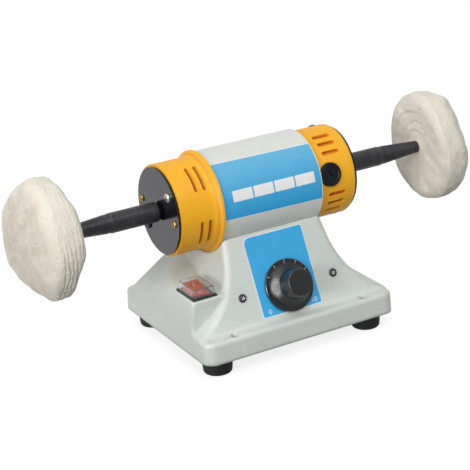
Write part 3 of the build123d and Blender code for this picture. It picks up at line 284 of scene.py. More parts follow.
# Which finish each CAD piece has
dressing = {
    "greyEnamel": ["base_housing"],
    "tubeEnamel": ["motor_tube"],
    "leftYellow": ["left_end_cap"],
    "rightYellow": ["right_end_cap"],
    "blackLaminate": ["left_end_plate", "right_end_plate"],
    "blackSteel": ["left_spindle", "right_spindle"],
    "zincPlate": ["bottom_plate", "motor_bolts", "motor_nuts", "potentiometer_nut", "foot_screws"],
    "nickelPlate": ["plate_bolts", "front_screws", "cap_screws", "grub_screws"],
    "groundSteel": ["motor_shaft", "potentiometer_shaft", "brush_springs"],
    "bearingSteel": ["bearing_outer_rings", "bearing_inner_rings"],
    "turnedBrass": ["plate_screws", "board_spacers"],
    "bareCopper": ["commutator"],
    "footRubber": ["rubber_feet"],
    "blackPhenolic": ["speed_knob"],
    "dullPhenolic": ["brush_caps"],
    "blackNylon": ["cooling_fan", "cord_gland", "gland_nut", "switch_body"],
    "brownPhenolic": ["brush_holders"],
    "pressedCarbon": ["carbon_brushes"],
    "rolledAluminium": ["control_bracket", "potentiometer"],
    "greenMask": ["control_board"],
    "darkEpoxy": ["board_components"],
    "redPlastic": ["switch_rocker"],
    "coreSteel": ["field_core", "armature_core"],
    "copperWire": ["field_coils", "armature_windings"],
    "clearSilicone": ["switch_cover"],
}
for name, dressed in dressing.items():
    for node in dressed:
        nodes[node].data.materials.clear()
        nodes[node].data.materials.append(finish[name])
print("CAD pieces dressed:", sum(len(dressed) for dressed in dressing.values()))


def asMesh(name, bm):
    mesh = bpy.data.meshes.new(name)
    bm.to_mesh(mesh)
    bm.free()
    return mesh


def addObject(name, data):
    thing = bpy.data.objects.new(name, data)
    scene.collection.objects.link(thing)
    return thing


def addPiece(name, bm, material, body, smooth=True):
    bmesh.ops.remove_doubles(bm, verts=bm.verts, dist=0.0005 * mm)
    bmesh.ops.recalc_face_normals(bm, faces=bm.faces)
    mesh = asMesh(name, bm)
    for face in mesh.polygons:
        face.use_smooth = smooth
    mesh.materials.append(finish[material])
    piece = addObject(name, mesh)
    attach(piece, body)
    pieces.append(piece)
    return piece


# Spins an outline round an axis, the motor's if no other is given
def spinOutline(bm, points, steps, cent=motorAxis, axis=(1, 0, 0), closed=False, angle=fullTurn, **more):
    ring = [bm.verts.new(point) for point in points]
    edges = [bm.edges.new(pair) for pair in zip(ring, ring[1:] + ring[:1] if closed else ring[1:])]
    bmesh.ops.spin(bm, geom=ring + edges, cent=cent, axis=axis, angle=angle, steps=steps,
                   use_merge=angle == fullTurn, **more)


def addBlock(bm, size, place):  # a box of that size about its place
    made = bmesh.ops.create_cube(bm, size=1.0)["verts"]
    bmesh.ops.transform(bm, matrix=place @ Matrix.Diagonal(Vector(size) * mm).to_4x4(), verts=made)
    return made


def placeAt(spot, out, across=Vector((1, 0, 0))):  # a place that looks out, with its first axis across
    return Matrix.Translation(spot) @ Matrix((across, out.cross(across), out)).transposed().to_4x4()


def radialPlace(station, angle, radius):  # looks out from the motor axis, angle up from the front
    out = Vector((0, -cos(radians(angle)), sin(radians(angle))))
    return placeAt(motorAxis + Vector((station, 0, 0)) * mm + out * radius * mm, out)


def endPlace(station, side, radius, angle):  # looks out of one end of the motor
    spot = Vector((station, -radius * cos(radians(angle)), radius * sin(radians(angle))))
    return placeAt(motorAxis + spot * mm, Vector((side, 0, 0)), across=Vector((0, -1, 0)))


frontSlope = {"lean": 25.196, "rowY": -51.352, "rowZ": 51.2}
lean = radians(frontSlope["lean"])
frontPlace = placeAt(Vector((0, frontSlope["rowY"], frontSlope["rowZ"])) * mm,
                     Vector((0, -cos(lean), sin(lean))))

# Cotton buffs: a stack of cloth plies pulled together at the hub. Each is a round cushion whose rim
# and edges wander, given by angle up from the front: rim radius, and depth of the near and far edges
buff = {"radius": 45.0, "thickness": 33.0, "edge": 8.0, "tip": 18.6, "tipRadius": 3.3, "holeRadius": 4.7,
        "slack": 0.05, "around": 300, "face": 44, "rim": 110}
buffs = {
    "leftBuff": {
        "node": "left_buff", "side": -1, "near": 157.8, "seed": 3.1, "dish": 0.0, "paler": 0.0,
        "rimRadius": ((0, 48), (35, 48), (62, 47), (90, 45.5), (118, 43.5), (150, 46.5), (180, 48),
            (215, 48.5), (235, 47), (254, 44.5), (275, 43.5), (292, 44), (320, 46), (345, 47)),
        "nearEdge": ((0, -0.5), (38, -1), (60, 2), (90, 2.5), (135, 4), (220, 3), (270, 6), (300, 7),
            (335, 5)),
        "farEdge": ((0, 26.5), (30, 26), (60, 24), (85, 25), (110, 22), (139, 25), (165, 30), (215, 32),
            (232, 29), (250, 25), (275, 21.5), (300, 24), (335, 29)),
        "plies": (2.6, 5.8, 9.2, 12.4, 15.8, 19.4), "plyDepth": 1.0, "openFrom": -78, "openTo": 24,
        "rings": (), "ringDepth": 0.0, "ringAngle": 0, "pucker": 0.7},
    "rightBuff": {
        "node": "right_buff", "side": 1, "near": 157.8, "seed": 7.7, "dish": 2.0, "paler": 0.85,
        "rimRadius": ((0, 46), (45, 45), (70, 44), (92, 43), (112, 42.5), (140, 43.5), (180, 44),
            (215, 44.5), (255, 43.5), (290, 44), (330, 45.5)),
        "nearEdge": ((0, -5), (25, -7), (50, -5), (90, -1), (130, 2.5), (185, 4), (235, 2), (290, 0),
            (330, -2.5)),
        "farEdge": ((0, 20), (15, 17.5), (32, 16), (52, 17.5), (72, 22), (90, 18), (180, 24), (270, 23),
            (310, 20.5), (345, 20.5)),
        "plies": (9.0, 15.0), "plyDepth": 0.6, "openFrom": -60, "openTo": 10,
        "rings": (12.5, 20.0, 30.0), "ringDepth": 0.45, "ringAngle": 130, "pucker": 0.9},
}
# How far the cloth swings, in millimetres unless it says share
cloth = {"rimShare": 0.2, "crown": 1.2, "plyWander": 1.7, "plyRipple": 0.6, "gapWidth": 0.5, "gapVary": 0.25,
         "swell": 0.5, "ringWander": 1.6, "ringWidth": 1.5, "ringLipShare": 0.6, "crumpleShare": 0.45,
         "rimWave": 0.7, "lint": 0.22, "fineLint": 0.12, "rimLintShare": 1.6}


def buffSection():  # half section as (depth from the near face, radius), from the tip hole to the far hub
    radius, thickness, edge = buff["radius"], buff["thickness"], buff["edge"]
    points = [(buff["tip"], 0.0), (buff["tip"], buff["tipRadius"]), (0.0, buff["holeRadius"])]
    flat = radius - edge
    for step in range(1, buff["face"] + 1):
        points.append((0.0, buff["holeRadius"] + (flat - buff["holeRadius"]) * step / buff["face"]))
    for step in range(1, buff["rim"] + 1):  # rolls over one edge, along the rim and over the other edge
        along = (thickness + 2 * edge) * step / buff["rim"]
        if along < 2 * edge:
            turn = pi / 4 * along / edge
            points.append((edge - edge * cos(turn), flat + edge * sin(turn)))
        elif along < thickness:
            points.append((along - edge, radius))
        else:
            turn = pi / 4 * (along - thickness) / edge
            points.append((thickness - edge + edge * sin(turn), flat + edge * cos(turn)))
    for step in range(1, buff["face"] + 1):
        points.append((thickness, flat * (1 - step / buff["face"])))
    return points


def ease(value):  # 0 to 1 without corners
    value = min(1.0, max(0.0, value))
    return value * value * (3 - 2 * value)


def atAngle(table, angle):  # smooth value between the entries of a table round the circle
    angle = angle % 360
    entries = [(table[-1][0] - 360, table[-1][1])] + list(table) + [(table[0][0] + 360, table[0][1])]
    for (low, first), (high, last) in zip(entries, entries[1:]):
        if low <= angle <= high:
            return first + (last - first) * ease((angle - low) / (high - low))


# The numbers beside spoke and spot say how quickly a swing changes round the rim or per millimetre
def shapeBuff(bm, look):
    seed = Vector((look["seed"], 2 * look["seed"], 0))
    mean = (look["openFrom"] + look["openTo"]) / 2
    reach = (look["openTo"] - look["openFrom"]) / 2
    rimShare, gapShadeShare, palerShare = [bm.verts.layers.float.new(tone + "Share")
                                      for tone in ("rim", "gap", "paler")]
    for vert in bm.verts:
        depth = abs(vert.co.x) / mm - look["near"]
        y, z = vert.co.y / mm, (vert.co.z - motorAxis.z) / mm
        radius = hypot(y, z)
        inHole = radius < buff["holeRadius"] + buff["slack"] and depth < buff["tip"] + buff["slack"]
        if radius < buff["slack"] or inHole:
            continue
        angle = degrees(atan2(z, -y))
        spoke = Vector((-y, z, 0)) / radius
        spot = Vector((y, z, depth))
        share = radius / buff["radius"]
        along = depth / buff["thickness"]
        onRim = ease((share - 1) / cloth["rimShare"] + 1)
        # overall form
        tilt = atAngle(look["nearEdge"], angle) * (1 - along)
        tilt += (atAngle(look["farEdge"], angle) - buff["thickness"]) * along
        newDepth = depth + tilt * share ** 2
        stretch = atAngle(look["rimRadius"], angle) / buff["radius"] - 1
        newRadius = radius * (1 + stretch * ease(share * 1.4 - 0.2))
        newRadius += cloth["crown"] * onRim * sin(pi * min(1.0, max(0.0, along)))
        # plies part into wavy grooves on one side of the rim
        off = abs((angle - mean + 180) % 360 - 180)
        opened = onRim * ease(1.25 - off / reach)
        for index, ply in enumerate(look["plies"]):
            layer = Vector((0, 0, 3.7 * index))
            wander = cloth["plyWander"] * noise(spoke * 2.6 + layer + seed)
            wander += cloth["plyRipple"] * noise(spoke * 8 + layer + seed)
            width = cloth["gapWidth"] + cloth["gapVary"] * noise(spoke * 5 + layer - seed)
            gap = (newDepth - ply - wander) / width
            uneven = 0.75 + 0.6 * noise(spoke * 6 + layer + 2 * seed)
            inGap = look["plyDepth"] * opened * exp(-gap * gap) * uneven
            # painted shade: this share draws the grooves between plies greyer
            vert[gapShadeShare] = min(1.0, max(vert[gapShadeShare], inGap / 2))
            swell = cloth["swell"] * opened * noise(spoke * 9 + layer) * exp(-(gap / 3) ** 2)
            newRadius += swell - inGap
        vert[rimShare] = onRim
        # this share draws the right buff paler all over
        vert[palerShare] = look["paler"]
        # stitched rings and puckers on the faces
        onNear = ease(1 - 3 * along)
        turned = 0.55 + 0.45 * cos(radians(angle - look["ringAngle"]))
        for index, ring in enumerate(look["rings"]):
            layer = Vector((0, 0, 5.3 * index))
            wander = cloth["ringWander"] * noise(spoke * 1.7 + layer + seed)
            gap = (radius - ring - wander) / cloth["ringWidth"]
            groove = exp(-gap * gap) - cloth["ringLipShare"] * exp(-(gap - 2) ** 2)
            newDepth += look["ringDepth"] * onNear * turned * groove
        newDepth += look["dish"] * onNear * ease(1.2 - share * 1.6) * (share > 0.12)
        outward = 1 if along > 0.5 else -1
        fold = noise(spoke * 3.2 + Vector((0, 0, radius * 0.07)) + seed)
        fold += cloth["crumpleShare"] * noise(spot * 0.16 + seed)
        newDepth += outward * look["pucker"] * fold * (1 - onRim) * ease(share * 2.5 - 0.3)
        newRadius += cloth["rimWave"] * onRim * noise(spot * 0.1 - seed)
        # loose lint
        lint = cloth["lint"] * noise(spot * 0.5 + seed) + cloth["fineLint"] * noise(spot * 1.1)
        newRadius += cloth["rimLintShare"] * lint * onRim
        newDepth += outward * lint * (1 - onRim) * ease(share * 4 - 0.5)
        vert.co.x = look["side"] * (look["near"] + newDepth) * mm
        vert.co.y = y / radius * newRadius * mm
        vert.co.z = motorAxis.z + z / radius * newRadius * mm


for name, look in buffs.items():
    bm = bmesh.new()
    spinOutline(bm, [(look["side"] * (look["near"] + depth) * mm, 0, motorAxis.z + radius * mm)
                     for depth, radius in buffSection()], buff["around"])
    bmesh.ops.remove_doubles(bm, verts=bm.verts, dist=0.002 * mm)
    shapeBuff(bm, look)
    piece = addPiece(name, bm, "cottonFlannel", "rotor")
    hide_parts(look["node"])
print("buffs made")

# Taper threads: a coarse rounded thread that a buff screws on to, left hand on the left
thread = {"pitch": 1.9, "shoulder": 119.8, "rootRadius": 7.4, "tipRadius": 3.0, "length": 56.0,
          "height": 0.32, "width": 1.35, "crestShare": 0.4, "sink": 0.12, "steps": 36, "first": 1.6,
          "last": 1.2, "runIn": 3.0, "leastShare": 0.05}
half = thread["width"] / 2
crest = half * thread["crestShare"]
profile = ((-half, -thread["sink"]), (-crest, thread["height"]), (crest, thread["height"]),
           (half, -thread["sink"]))
turns = (thread["length"] - thread["first"] - thread["last"] - thread["width"]) / thread["pitch"]
for name, side in (("leftThread", -1), ("rightThread", 1)):
    bm = bmesh.new()
    start = thread["shoulder"] + thread["first"] + half
    spinOutline(bm, [(side * (start + along) * mm, 0, motorAxis.z + (thread["rootRadius"] + rise) * mm)
                     for along, rise in profile], int(turns * thread["steps"]), closed=True,
                angle=side * fullTurn * turns, dvec=(side * thread["pitch"] / thread["steps"] * mm, 0, 0))
    bmesh.ops.holes_fill(bm, edges=bm.edges)
    for vert in bm.verts:  # lay the helix down on the taper, with a run-in at both ends
        along = abs(vert.co.x) / mm - thread["shoulder"]
        spoke = Vector((0, vert.co.y, vert.co.z - motorAxis.z))
        rise = spoke.length / mm - thread["rootRadius"]
        ahead = min(along - thread["first"], thread["length"] - thread["last"] - along)
        if rise > 0:
            rise *= max(min(1.0, ahead / thread["runIn"]), thread["leastShare"])
        taper = (thread["tipRadius"] - thread["rootRadius"]) * along / thread["length"]
        place = spoke.normalized() * (thread["rootRadius"] + taper + rise) * mm
        vert.co = Vector((vert.co.x, place.y, motorAxis.z + place.z))
    addPiece(name, bm, "blackSteel", "rotor")

# Worn edge of each spindle's shoulder, where the taper starts
shoulder = {"radius": 7.82, "under": 7.3, "start": 119.35, "end": 119.95, "bevel": 0.15, "steps": 64}
profile = ((shoulder["start"], shoulder["under"]), (shoulder["start"], shoulder["radius"]),
           (shoulder["end"] - shoulder["bevel"], shoulder["radius"]), (shoulder["end"], shoulder["under"]))
bm = bmesh.new()
for side in (-1, 1):
    spinOutline(bm, [(side * x * mm, 0, motorAxis.z + radius * mm) for x, radius in profile],
                shoulder["steps"], closed=True)
addPiece("shoulderRings", bm, "wornSteel", "rotor")
print("threads made")

# Vent floors: each vent is a louvre, its web deep on one side and near the cap's outside on the other
vents = {"turn": 14.0, "deepWeb": 0.3, "shallowWeb": 1.9, "spare": 0.05, "leftRadius": 32.6,
         "leftStations": (-53.6, -60.5), "leftWidth": 3.1, "leftStart": 21.0, "leftSweep": 31.0,
         "leftSteps": 20, "rightRadius": 32.75, "rightStation": 58.4, "rightLength": 15.6,
         "rightWidth": 3.8, "rightAngles": (27.0, 40.3, 53.6)}
half = vents["leftWidth"] / 2 + vents["spare"]
endTurn = degrees(half / vents["leftRadius"])
sweep = radians(vents["leftSweep"] + 2 * endTurn)
profile = ((-half, 0), (half, 0), (half, vents["shallowWeb"]), (-half, vents["deepWeb"]))
left, right = bmesh.new(), bmesh.new()
for middle in (vents["turn"], vents["turn"] + 180):
    for start in (middle + vents["leftStart"], middle - vents["leftStart"] - vents["leftSweep"]):
        for station in vents["leftStations"]:
            place = radialPlace(station, start - endTurn, 0)
            spinOutline(left, [place @ Vector((u * mm, 0, (vents["leftRadius"] + rise) * mm))
                               for u, rise in profile], vents["leftSteps"], axis=(-1, 0, 0), closed=True,
                        angle=sweep)
    for spread in vents["rightAngles"]:
        for angle in (middle - spread, middle + spread):
            made = bmesh.ops.create_cube(right, size=1.0)["verts"]
            upper = 1 if cos(radians(angle)) > 0 else -1  # the side of the vent that is higher
            below = sin(radians(angle)) < 0  # vents under the axis are deep right across
            for vert in made:
                webTop = vents["deepWeb"] if below or vert.co.y * upper > 0 else vents["shallowWeb"]
                vert.co.x *= vents["rightLength"] * mm
                vert.co.y *= vents["rightWidth"] * mm
                vert.co.z = webTop * mm if vert.co.z > 0 else 0
            place = radialPlace(vents["rightStation"], angle, vents["rightRadius"])
            bmesh.ops.transform(right, matrix=place, verts=made)
bmesh.ops.holes_fill(left, edges=left.edges)
addPiece("leftVentFloors", left, "leftYellow", "base", smooth=False)
addPiece("rightVentFloors", right, "rightYellow", "base", smooth=False)
print("vent floors set")

# Labels: thin printed film, laid flat on the slope or rolled on to the tube. Corners are given in
# the film's own plane, u along the motor and v up the face
film = {"lift": 0.01, "rows": 24, "cornerSteps": 6, "topLeftSteps": 8}


def filmSheet(left, right, bottom, top, corner, thickness, topLeft=None):
    bm = bmesh.new()
    spots = [Vector((u, v, 0)) * mm for u, v in ((left, bottom), (right, bottom), (right, top), (left, top))]
    corners = [bm.verts.new(spot) for spot in spots]
    bm.faces.new(corners)
    bmesh.ops.bevel(bm, geom=[corners[3]], offset=(topLeft or corner) * mm, affect="VERTICES",
                    segments=film["topLeftSteps"], profile=0.5, material=-1)
    rest = [v for v in bm.verts if any((v.co - spot).length < 0.0001 * mm for spot in spots[:3])]
    bmesh.ops.bevel(bm, geom=rest, offset=corner * mm, affect="VERTICES", segments=film["cornerSteps"],
                    profile=0.5, material=-1)
    for cut in range(1, film["rows"]):  # rows of cuts, so that the film can roll round the tube
        level = bottom + (top - bottom) * cut / film["rows"]
        bmesh.ops.bisect_plane(bm, geom=bm.verts[:] + bm.edges[:] + bm.faces[:],
                               plane_co=(0, level * mm, 0), plane_no=(0, 1, 0))
    bmesh.ops.recalc_face_normals(bm, faces=bm.faces)
    if bm.faces[:][0].normal.z < 0:
        bmesh.ops.reverse_faces(bm, faces=bm.faces)
    upper = bmesh.ops.duplicate(bm, geom=bm.verts[:] + bm.edges[:] + bm.faces[:])["geom"]
    bmesh.ops.translate(bm, verts=[g for g in upper if isinstance(g, bmesh.types.BMVert)],
                        vec=(0, 0, thickness * mm))
    bmesh.ops.bridge_loops(bm, edges=[e for e in bm.edges if e.is_boundary])
    return bm


def layLabel(look, lay):  # stacks a label's films, each on the one below
    level = film["lift"]
    for name, material, rim, thickness in look["films"]:
        bm = filmSheet(look["left"] + rim, look["right"] - rim, look["bottom"] + rim, look["top"] - rim,
                       look["corner"], thickness, look.get("topLeft"))
        lay(bm, level)
        addPiece(name, bm, material, "base", smooth=False)
        level += thickness
    return level


motorLabel = {"tubeRadius": 38.0, "lowAngle": -10.8, "highAngle": 59.6, "left": -42.9, "right": 43.2,
              "corner": 1.2, "askew": 1.1, "films": (("motorLabelRim", "whiteFilm", 0.0, 0.12),
                                                     ("motorLabel", "motorFilm", 0.45, 0.05))}
panel = {"left": -34.3, "width": 17.0, "pitch": 18.2, "count": 4, "low": -9.4, "high": -0.9, "corner": 0.6,
         "film": 0.06}
middleAngle = radians(motorLabel["highAngle"] + motorLabel["lowAngle"]) / 2
motorLabel["top"] = radians(motorLabel["highAngle"] - motorLabel["lowAngle"]) / 2 * motorLabel["tubeRadius"]
motorLabel["bottom"] = -motorLabel["top"]


def rollOnTube(bm, level, askew=motorLabel["askew"]):  # v becomes an angle up from the front
    radius = (motorLabel["tubeRadius"] + level) * mm
    for vert in bm.verts:
        angle = middleAngle + (vert.co.y - radians(askew) * vert.co.x) / radius
        reach = radius + vert.co.z
        vert.co = motorAxis + Vector((vert.co.x, -reach * cos(angle), reach * sin(angle)))


level = layLabel(motorLabel, rollOnTube)
panels = bmesh.new()
for index in range(panel["count"]):
    left = panel["left"] + index * panel["pitch"]
    bm = filmSheet(left, left + panel["width"], panel["low"], panel["high"], panel["corner"], panel["film"])
    rollOnTube(bm, level, askew=0.0)
    mesh = asMesh("panel", bm)
    panels.from_mesh(mesh)
    bpy.data.meshes.remove(mesh)
addPiece("ratingPanels", panels, "whiteFilm", "base", smooth=False)

frontLabel = {"left": -27.6, "right": 24.6, "bottom": -19.7, "top": 43.2, "corner": 1.5, "topLeft": 5.0,
              "films": (("frontLabelRim", "whiteFilm", 0.0, 0.12), ("frontLabel", "blueFilm", 0.55, 0.05))}
figure = {"size": 5.2, "half": 0.03, "level": 0.2, "figures": (("0", -22.0, -17.4), ("10", 15.6, -17.4))}


def layOnSlope(bm, level):
    bmesh.ops.transform(bm, matrix=frontPlace @ Matrix.Translation((0, 0, level * mm)), verts=bm.verts)


layLabel(frontLabel, layOnSlope)
figures = bmesh.new()
for text, u, v in figure["figures"]:
    curve = bpy.data.curves.new("figure", "FONT")
    curve.body = text
    curve.size = figure["size"] * mm
    curve.extrude = figure["half"] * mm
    drawn = addObject("figure", curve)
    mesh = bpy.data.meshes.new_from_object(drawn)
    mesh.transform(frontPlace @ Matrix.Translation(Vector((u, v, figure["level"])) * mm))
    figures.from_mesh(mesh)
    bpy.data.objects.remove(drawn)
    bpy.data.curves.remove(curve)
    bpy.data.meshes.remove(mesh)
addPiece("dialFigures", figures, "markPaint", "base", smooth=False)
print("labels laid")

# Knob: a thin dial skirt, a stepped neck with fine radial flutes and a plain grip, bored for its shaft.
# The outline is (radius, level above the slope)
knob = {"bore": ((0, 19.4), (3.06, 19.4), (3.06, 5.9), (8.0, 5.9), (8.0, 0.9)),
        "skirt": ((19.9, 0.9), (20.4, 1.2), (20.4, 2.6), (20.1, 2.9), (17.1, 2.9)),
        "neck": ((16.8, 3.1), (16.7, 4.2), (16.3, 4.5)), "neckEnd": (11.7, 8.9), "neckSteps": 12,
        "grip": ((11.4, 9.5), (10.5, 20.3), (10.25, 21.0), (9.7, 21.35), (8.5, 21.4), (0, 21.4)),
        "flutes": 84, "fluteDepth": 0.09, "fluteSteps": 6, "slack": 0.5, "sharp": 28, "sag": 0.12}
outline = list(knob["bore"] + knob["skirt"] + knob["neck"])
(fromRadius, fromLevel), (toRadius, toLevel) = knob["neck"][-1], knob["neckEnd"]
for step in range(1, knob["neckSteps"] + 1):  # the neck is slightly hollow
    part = step / knob["neckSteps"]
    sag = knob["sag"] * sin(pi * part)
    outline.append((fromRadius + (toRadius - fromRadius) * part - sag,
                    fromLevel + (toLevel - fromLevel) * part - sag))
outline += knob["grip"]
bm = bmesh.new()
spinOutline(bm, [(radius * mm, 0, level * mm) for radius, level in outline],
            knob["fluteSteps"] * knob["flutes"], cent=(0, 0, 0), axis=(0, 0, 1))
bmesh.ops.remove_doubles(bm, verts=bm.verts, dist=0.001 * mm)
for vert in bm.verts:
    level, radius = vert.co.z / mm, vert.co.to_2d().length / mm
    onNeck = min(1.0, max(0.0, 2 * min(level - fromLevel, toLevel - level)))
    if onNeck and radius > toRadius - knob["slack"]:
        angle = atan2(vert.co.y, vert.co.x)
        rise = knob["fluteDepth"] * onNeck * cos(knob["flutes"] * angle)
        vert.co.x *= 1 + rise / radius
        vert.co.y *= 1 + rise / radius
bmesh.ops.transform(bm, matrix=frontPlace, verts=bm.verts)
piece = addPiece("speedKnob", bm, "blackPhenolic", "knob")
piece.data.set_sharp_from_angle(angle=radians(knob["sharp"]))
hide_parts("speed_knob")

# Dial marks: short lines filled with white paint round the knob's skirt
marks = {"first": 28.5, "step": 30.0, "count": 5, "inner": 17.3, "outer": 20.0, "width": 0.28, "level": 2.9,
         "film": 0.05}
bm = bmesh.new()
spot = Vector(((marks["outer"] + marks["inner"]) / 2, 0, marks["level"] + marks["film"] / 2)) * mm
for index in range(marks["count"]):
    angle = radians(marks["first"] + index * marks["step"])
    addBlock(bm, (marks["outer"] - marks["inner"], marks["width"], marks["film"]),
             frontPlace @ Matrix.Rotation(angle, 4, "Z") @ Matrix.Translation(spot))
addPiece("dialMarks", bm, "markPaint", "knob", smooth=False)

# Rocker marks: a bar at one end and a ring at the other, printed on the tipped faces
rocker = {"place": (-68.9, -32.9, 57.6), "tilt": 10.0, "middleRise": 2.2, "endRise": 4.0, "half": 10.0,
          "spot": 5.4, "barLength": 3.4, "barWidth": 0.7, "ringOuter": 1.7, "ringInner": 1.1,
          "ringSteps": 32, "film": 0.06, "lift": 0.02}
faceLean = atan2(rocker["endRise"] - rocker["middleRise"], rocker["half"])
pivot = Matrix.Translation(Vector(rocker["place"]) * mm) @ Matrix.Rotation(radians(rocker["tilt"]), 4, "X")
rise = rocker["middleRise"] + rocker["spot"] * tan(faceLean) + rocker["lift"]
barPlace, ringPlace = [pivot @ Matrix.Translation(Vector((0, end * rocker["spot"], rise)) * mm)
                       @ Matrix.Rotation(end * faceLean, 4, "X") for end in (1, -1)]
bm = bmesh.new()
addBlock(bm, (rocker["barWidth"], rocker["barLength"], rocker["film"]), barPlace)
low, high = -rocker["film"] / 2, rocker["film"] / 2
profile = ((rocker["ringInner"], low), (rocker["ringOuter"], low), (rocker["ringOuter"], high),
           (rocker["ringInner"], high))
bar = set(bm.verts)
spinOutline(bm, [(radius * mm, 0, level * mm) for radius, level in profile], rocker["ringSteps"],
            cent=(0, 0, 0), axis=(0, 0, 1), closed=True)
bmesh.ops.transform(bm, matrix=ringPlace, verts=[vert for vert in bm.verts if vert not in bar])
addPiece("rockerMarks", bm, "markPaint", "rocker", smooth=False)
print("marks printed")

# Screws: a head with a real driver recess, cut with a boolean, and a plain shank. A head's outline is
# given as shares of its radius and height, a cut as its length, width and depth
panHead = ((0, 1), (0.5, 0.97), (0.8, 0.82), (0.96, 0.52), (1, 0.22), (1, 0.02), (0.97, 0))
dishedHead = ((0, 0.8), (0.7, 0.8), (0.75, 1), (0.9, 1), (0.98, 0.88), (1, 0.7), (1, 0))
screwSteps = 40
cutTaper = 0.72  # a cut is this much smaller at its bottom
recessLow, recessHigh = 0.1, 0.93  # shares of a head's height between which its recess has faces
crossLift = 0.02  # the second cut of a cross stands a little higher, so that no faces coincide
screws = {
    "plateBolts": {"node": "plate_bolts", "slot": "screw_steel", "finish": "nickelPlate", "head": 3.5,
        "height": 2.2, "shank": 2.0, "length": 5.0, "recess": (0,), "cut": (8.0, 0.9, 0.9)},
    "plateScrews": {"node": "plate_screws", "slot": "yellow_brass", "finish": "turnedBrass", "head": 2.7,
        "height": 1.6, "shank": 1.4, "length": 4.5, "recess": (0,), "cut": (6.0, 0.7, 0.6)},
    "brushCaps": {"node": "brush_caps", "slot": "black_matte", "finish": "dullPhenolic", "head": 9.3,
        "height": 2.6, "shank": 0, "outline": dishedHead, "recess": (0,), "cut": (6.0, 1.7, 1.6)},
    "capScrews": {"node": "cap_screws", "slot": "black_steel", "finish": "blackSteel", "head": 2.7,
        "height": 1.0, "shank": 1.4, "length": 5.0, "recess": (0, 90), "cut": (3.0, 0.7, 0.7)},
    "frontScrews": {"node": "front_screws", "slot": "screw_steel", "finish": "blackSteel", "head": 3.3,
        "height": 1.4, "shank": 1.5, "length": 6.5, "recess": (0, 90), "cut": (3.8, 1.3, 0.8),
        "recessFinish": "bearingSteel"},
    "footScrews": {"node": "foot_screws", "slot": "screw_steel", "finish": "zincPlate", "head": 4.2,
        "height": 3.0, "shank": 2.0, "length": 22.0, "recess": (0, 90), "cut": (4.4, 1.0, 1.6)},
}
seats = {"ends": ((-79.4, -1), (77.4, 1)), "boltCircle": 25.0, "brassCircle": 27.0, "brushStation": 52.8,
         "brushRadius": 34.52, "capStation": 67.4, "capSpots": ((113, 35.75), (293, 34.95)),
         "frontReach": 40.3, "footX": 66.8, "footY": 54.1, "footLevel": 7.0}
downward = Matrix.Rotation(pi, 4, "X")
places = {  # place, turn of the driver's slot, and whether that one is drawn dark as painted shade
    # painted shade: the plate bolts below the axis are drawn in black steel for the shade they sit in
    "plateBolts": [(endPlace(x, side, seats["boltCircle"], angle), angle + 25, angle > 180)
        for x, side in seats["ends"] for angle in (40, 220)],
    "plateScrews": [(endPlace(x, side, seats["brassCircle"], angle), 3 * angle, False)
        for x, side in seats["ends"] for angle in (-6, 174)],
    "brushCaps": [(radialPlace(seats["brushStation"], angle, seats["brushRadius"]), 125, False)
        for angle in (14, 194)],
    "capScrews": [(radialPlace(seats["capStation"], angle, radius), angle, False)  # the lower one is flush
        for angle, radius in seats["capSpots"]],
    "frontScrews": [(frontPlace @ Matrix.Translation((u * mm, 0, 0)), u, False)
        for u in (-seats["frontReach"], seats["frontReach"])],
    "footScrews": [(Matrix.Translation(Vector((x, y, seats["footLevel"])) * mm) @ downward, x + y, False)
        for x in (-seats["footX"], seats["footX"]) for y in (-seats["footY"], seats["footY"])],
}


def screwMesh(look):
    height, shank = look["height"], look["shank"]
    length, width, depth = look["cut"]
    outline = [(share * look["head"], level * height) for share, level in look.get("outline", panHead)]
    outline += [(shank, 0), (shank, -look["length"]), (0, -look["length"])] if shank else [(0, 0)]
    bm = bmesh.new()
    spinOutline(bm, [(radius * mm, 0, level * mm) for radius, level in outline], screwSteps,
                cent=(0, 0, 0), axis=(0, 0, 1))
    bmesh.ops.remove_doubles(bm, verts=bm.verts, dist=0.001 * mm)
    bmesh.ops.recalc_face_normals(bm, faces=bm.faces)
    cutter = bmesh.new()
    for turn in look["recess"]:
        lift = Matrix.Translation((0, 0, (height + crossLift * turn / 90) * mm))
        spun = Matrix.Rotation(radians(turn), 4, "Z")
        made = addBlock(cutter, (length, width, 2 * depth), spun @ lift)
        low = [v for v in made if v.co.z < height * mm]
        bmesh.ops.scale(cutter, verts=low, vec=(cutTaper, cutTaper, 1))
    head = addObject("screwHead", asMesh("screwHead", bm))
    tool = addObject("recessTool", asMesh("recessTool", cutter))
    cut = head.modifiers.new("recess", "BOOLEAN")
    cut.operation = "DIFFERENCE"
    cut.solver = "EXACT"
    cut.use_self = True
    cut.object = tool
    bpy.context.view_layer.update()
    mesh = bpy.data.meshes.new_from_object(head.evaluated_get(bpy.context.evaluated_depsgraph_get()))
    for each in (head, tool):
        data = each.data
        bpy.data.objects.remove(each)
        bpy.data.meshes.remove(data)
    return mesh


for name, look in screws.items():
    mesh = screwMesh(look)
    bm = bmesh.new()
    for face in mesh.polygons:  # the walls and floor of the recess have a finish of their own
        level = face.center.z / (look["height"] * mm)
        if face.center.to_2d().length < look["cut"][0] / 2 * mm and recessLow < level < recessHigh:
            face.material_index = 1
    for place, turn, shadedDark in places[name]:
        copy = mesh.copy()
        for face in copy.polygons:
            # painted shade: dark copies take the black steel slots
            face.material_index += 2 * shadedDark
        copy.transform(place @ Matrix.Rotation(radians(turn), 4, "Z"))
        bm.from_mesh(copy)
        bpy.data.meshes.remove(copy)
    bpy.data.meshes.remove(mesh)
    piece = addPiece(name, bm, look["finish"], "base", smooth=False)
    for extra in (look.get("recessFinish", look["finish"]), "blackSteel", "blackSteel"):
        piece.data.materials.append(finish[extra])
    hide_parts(look["node"])
print("screws set")

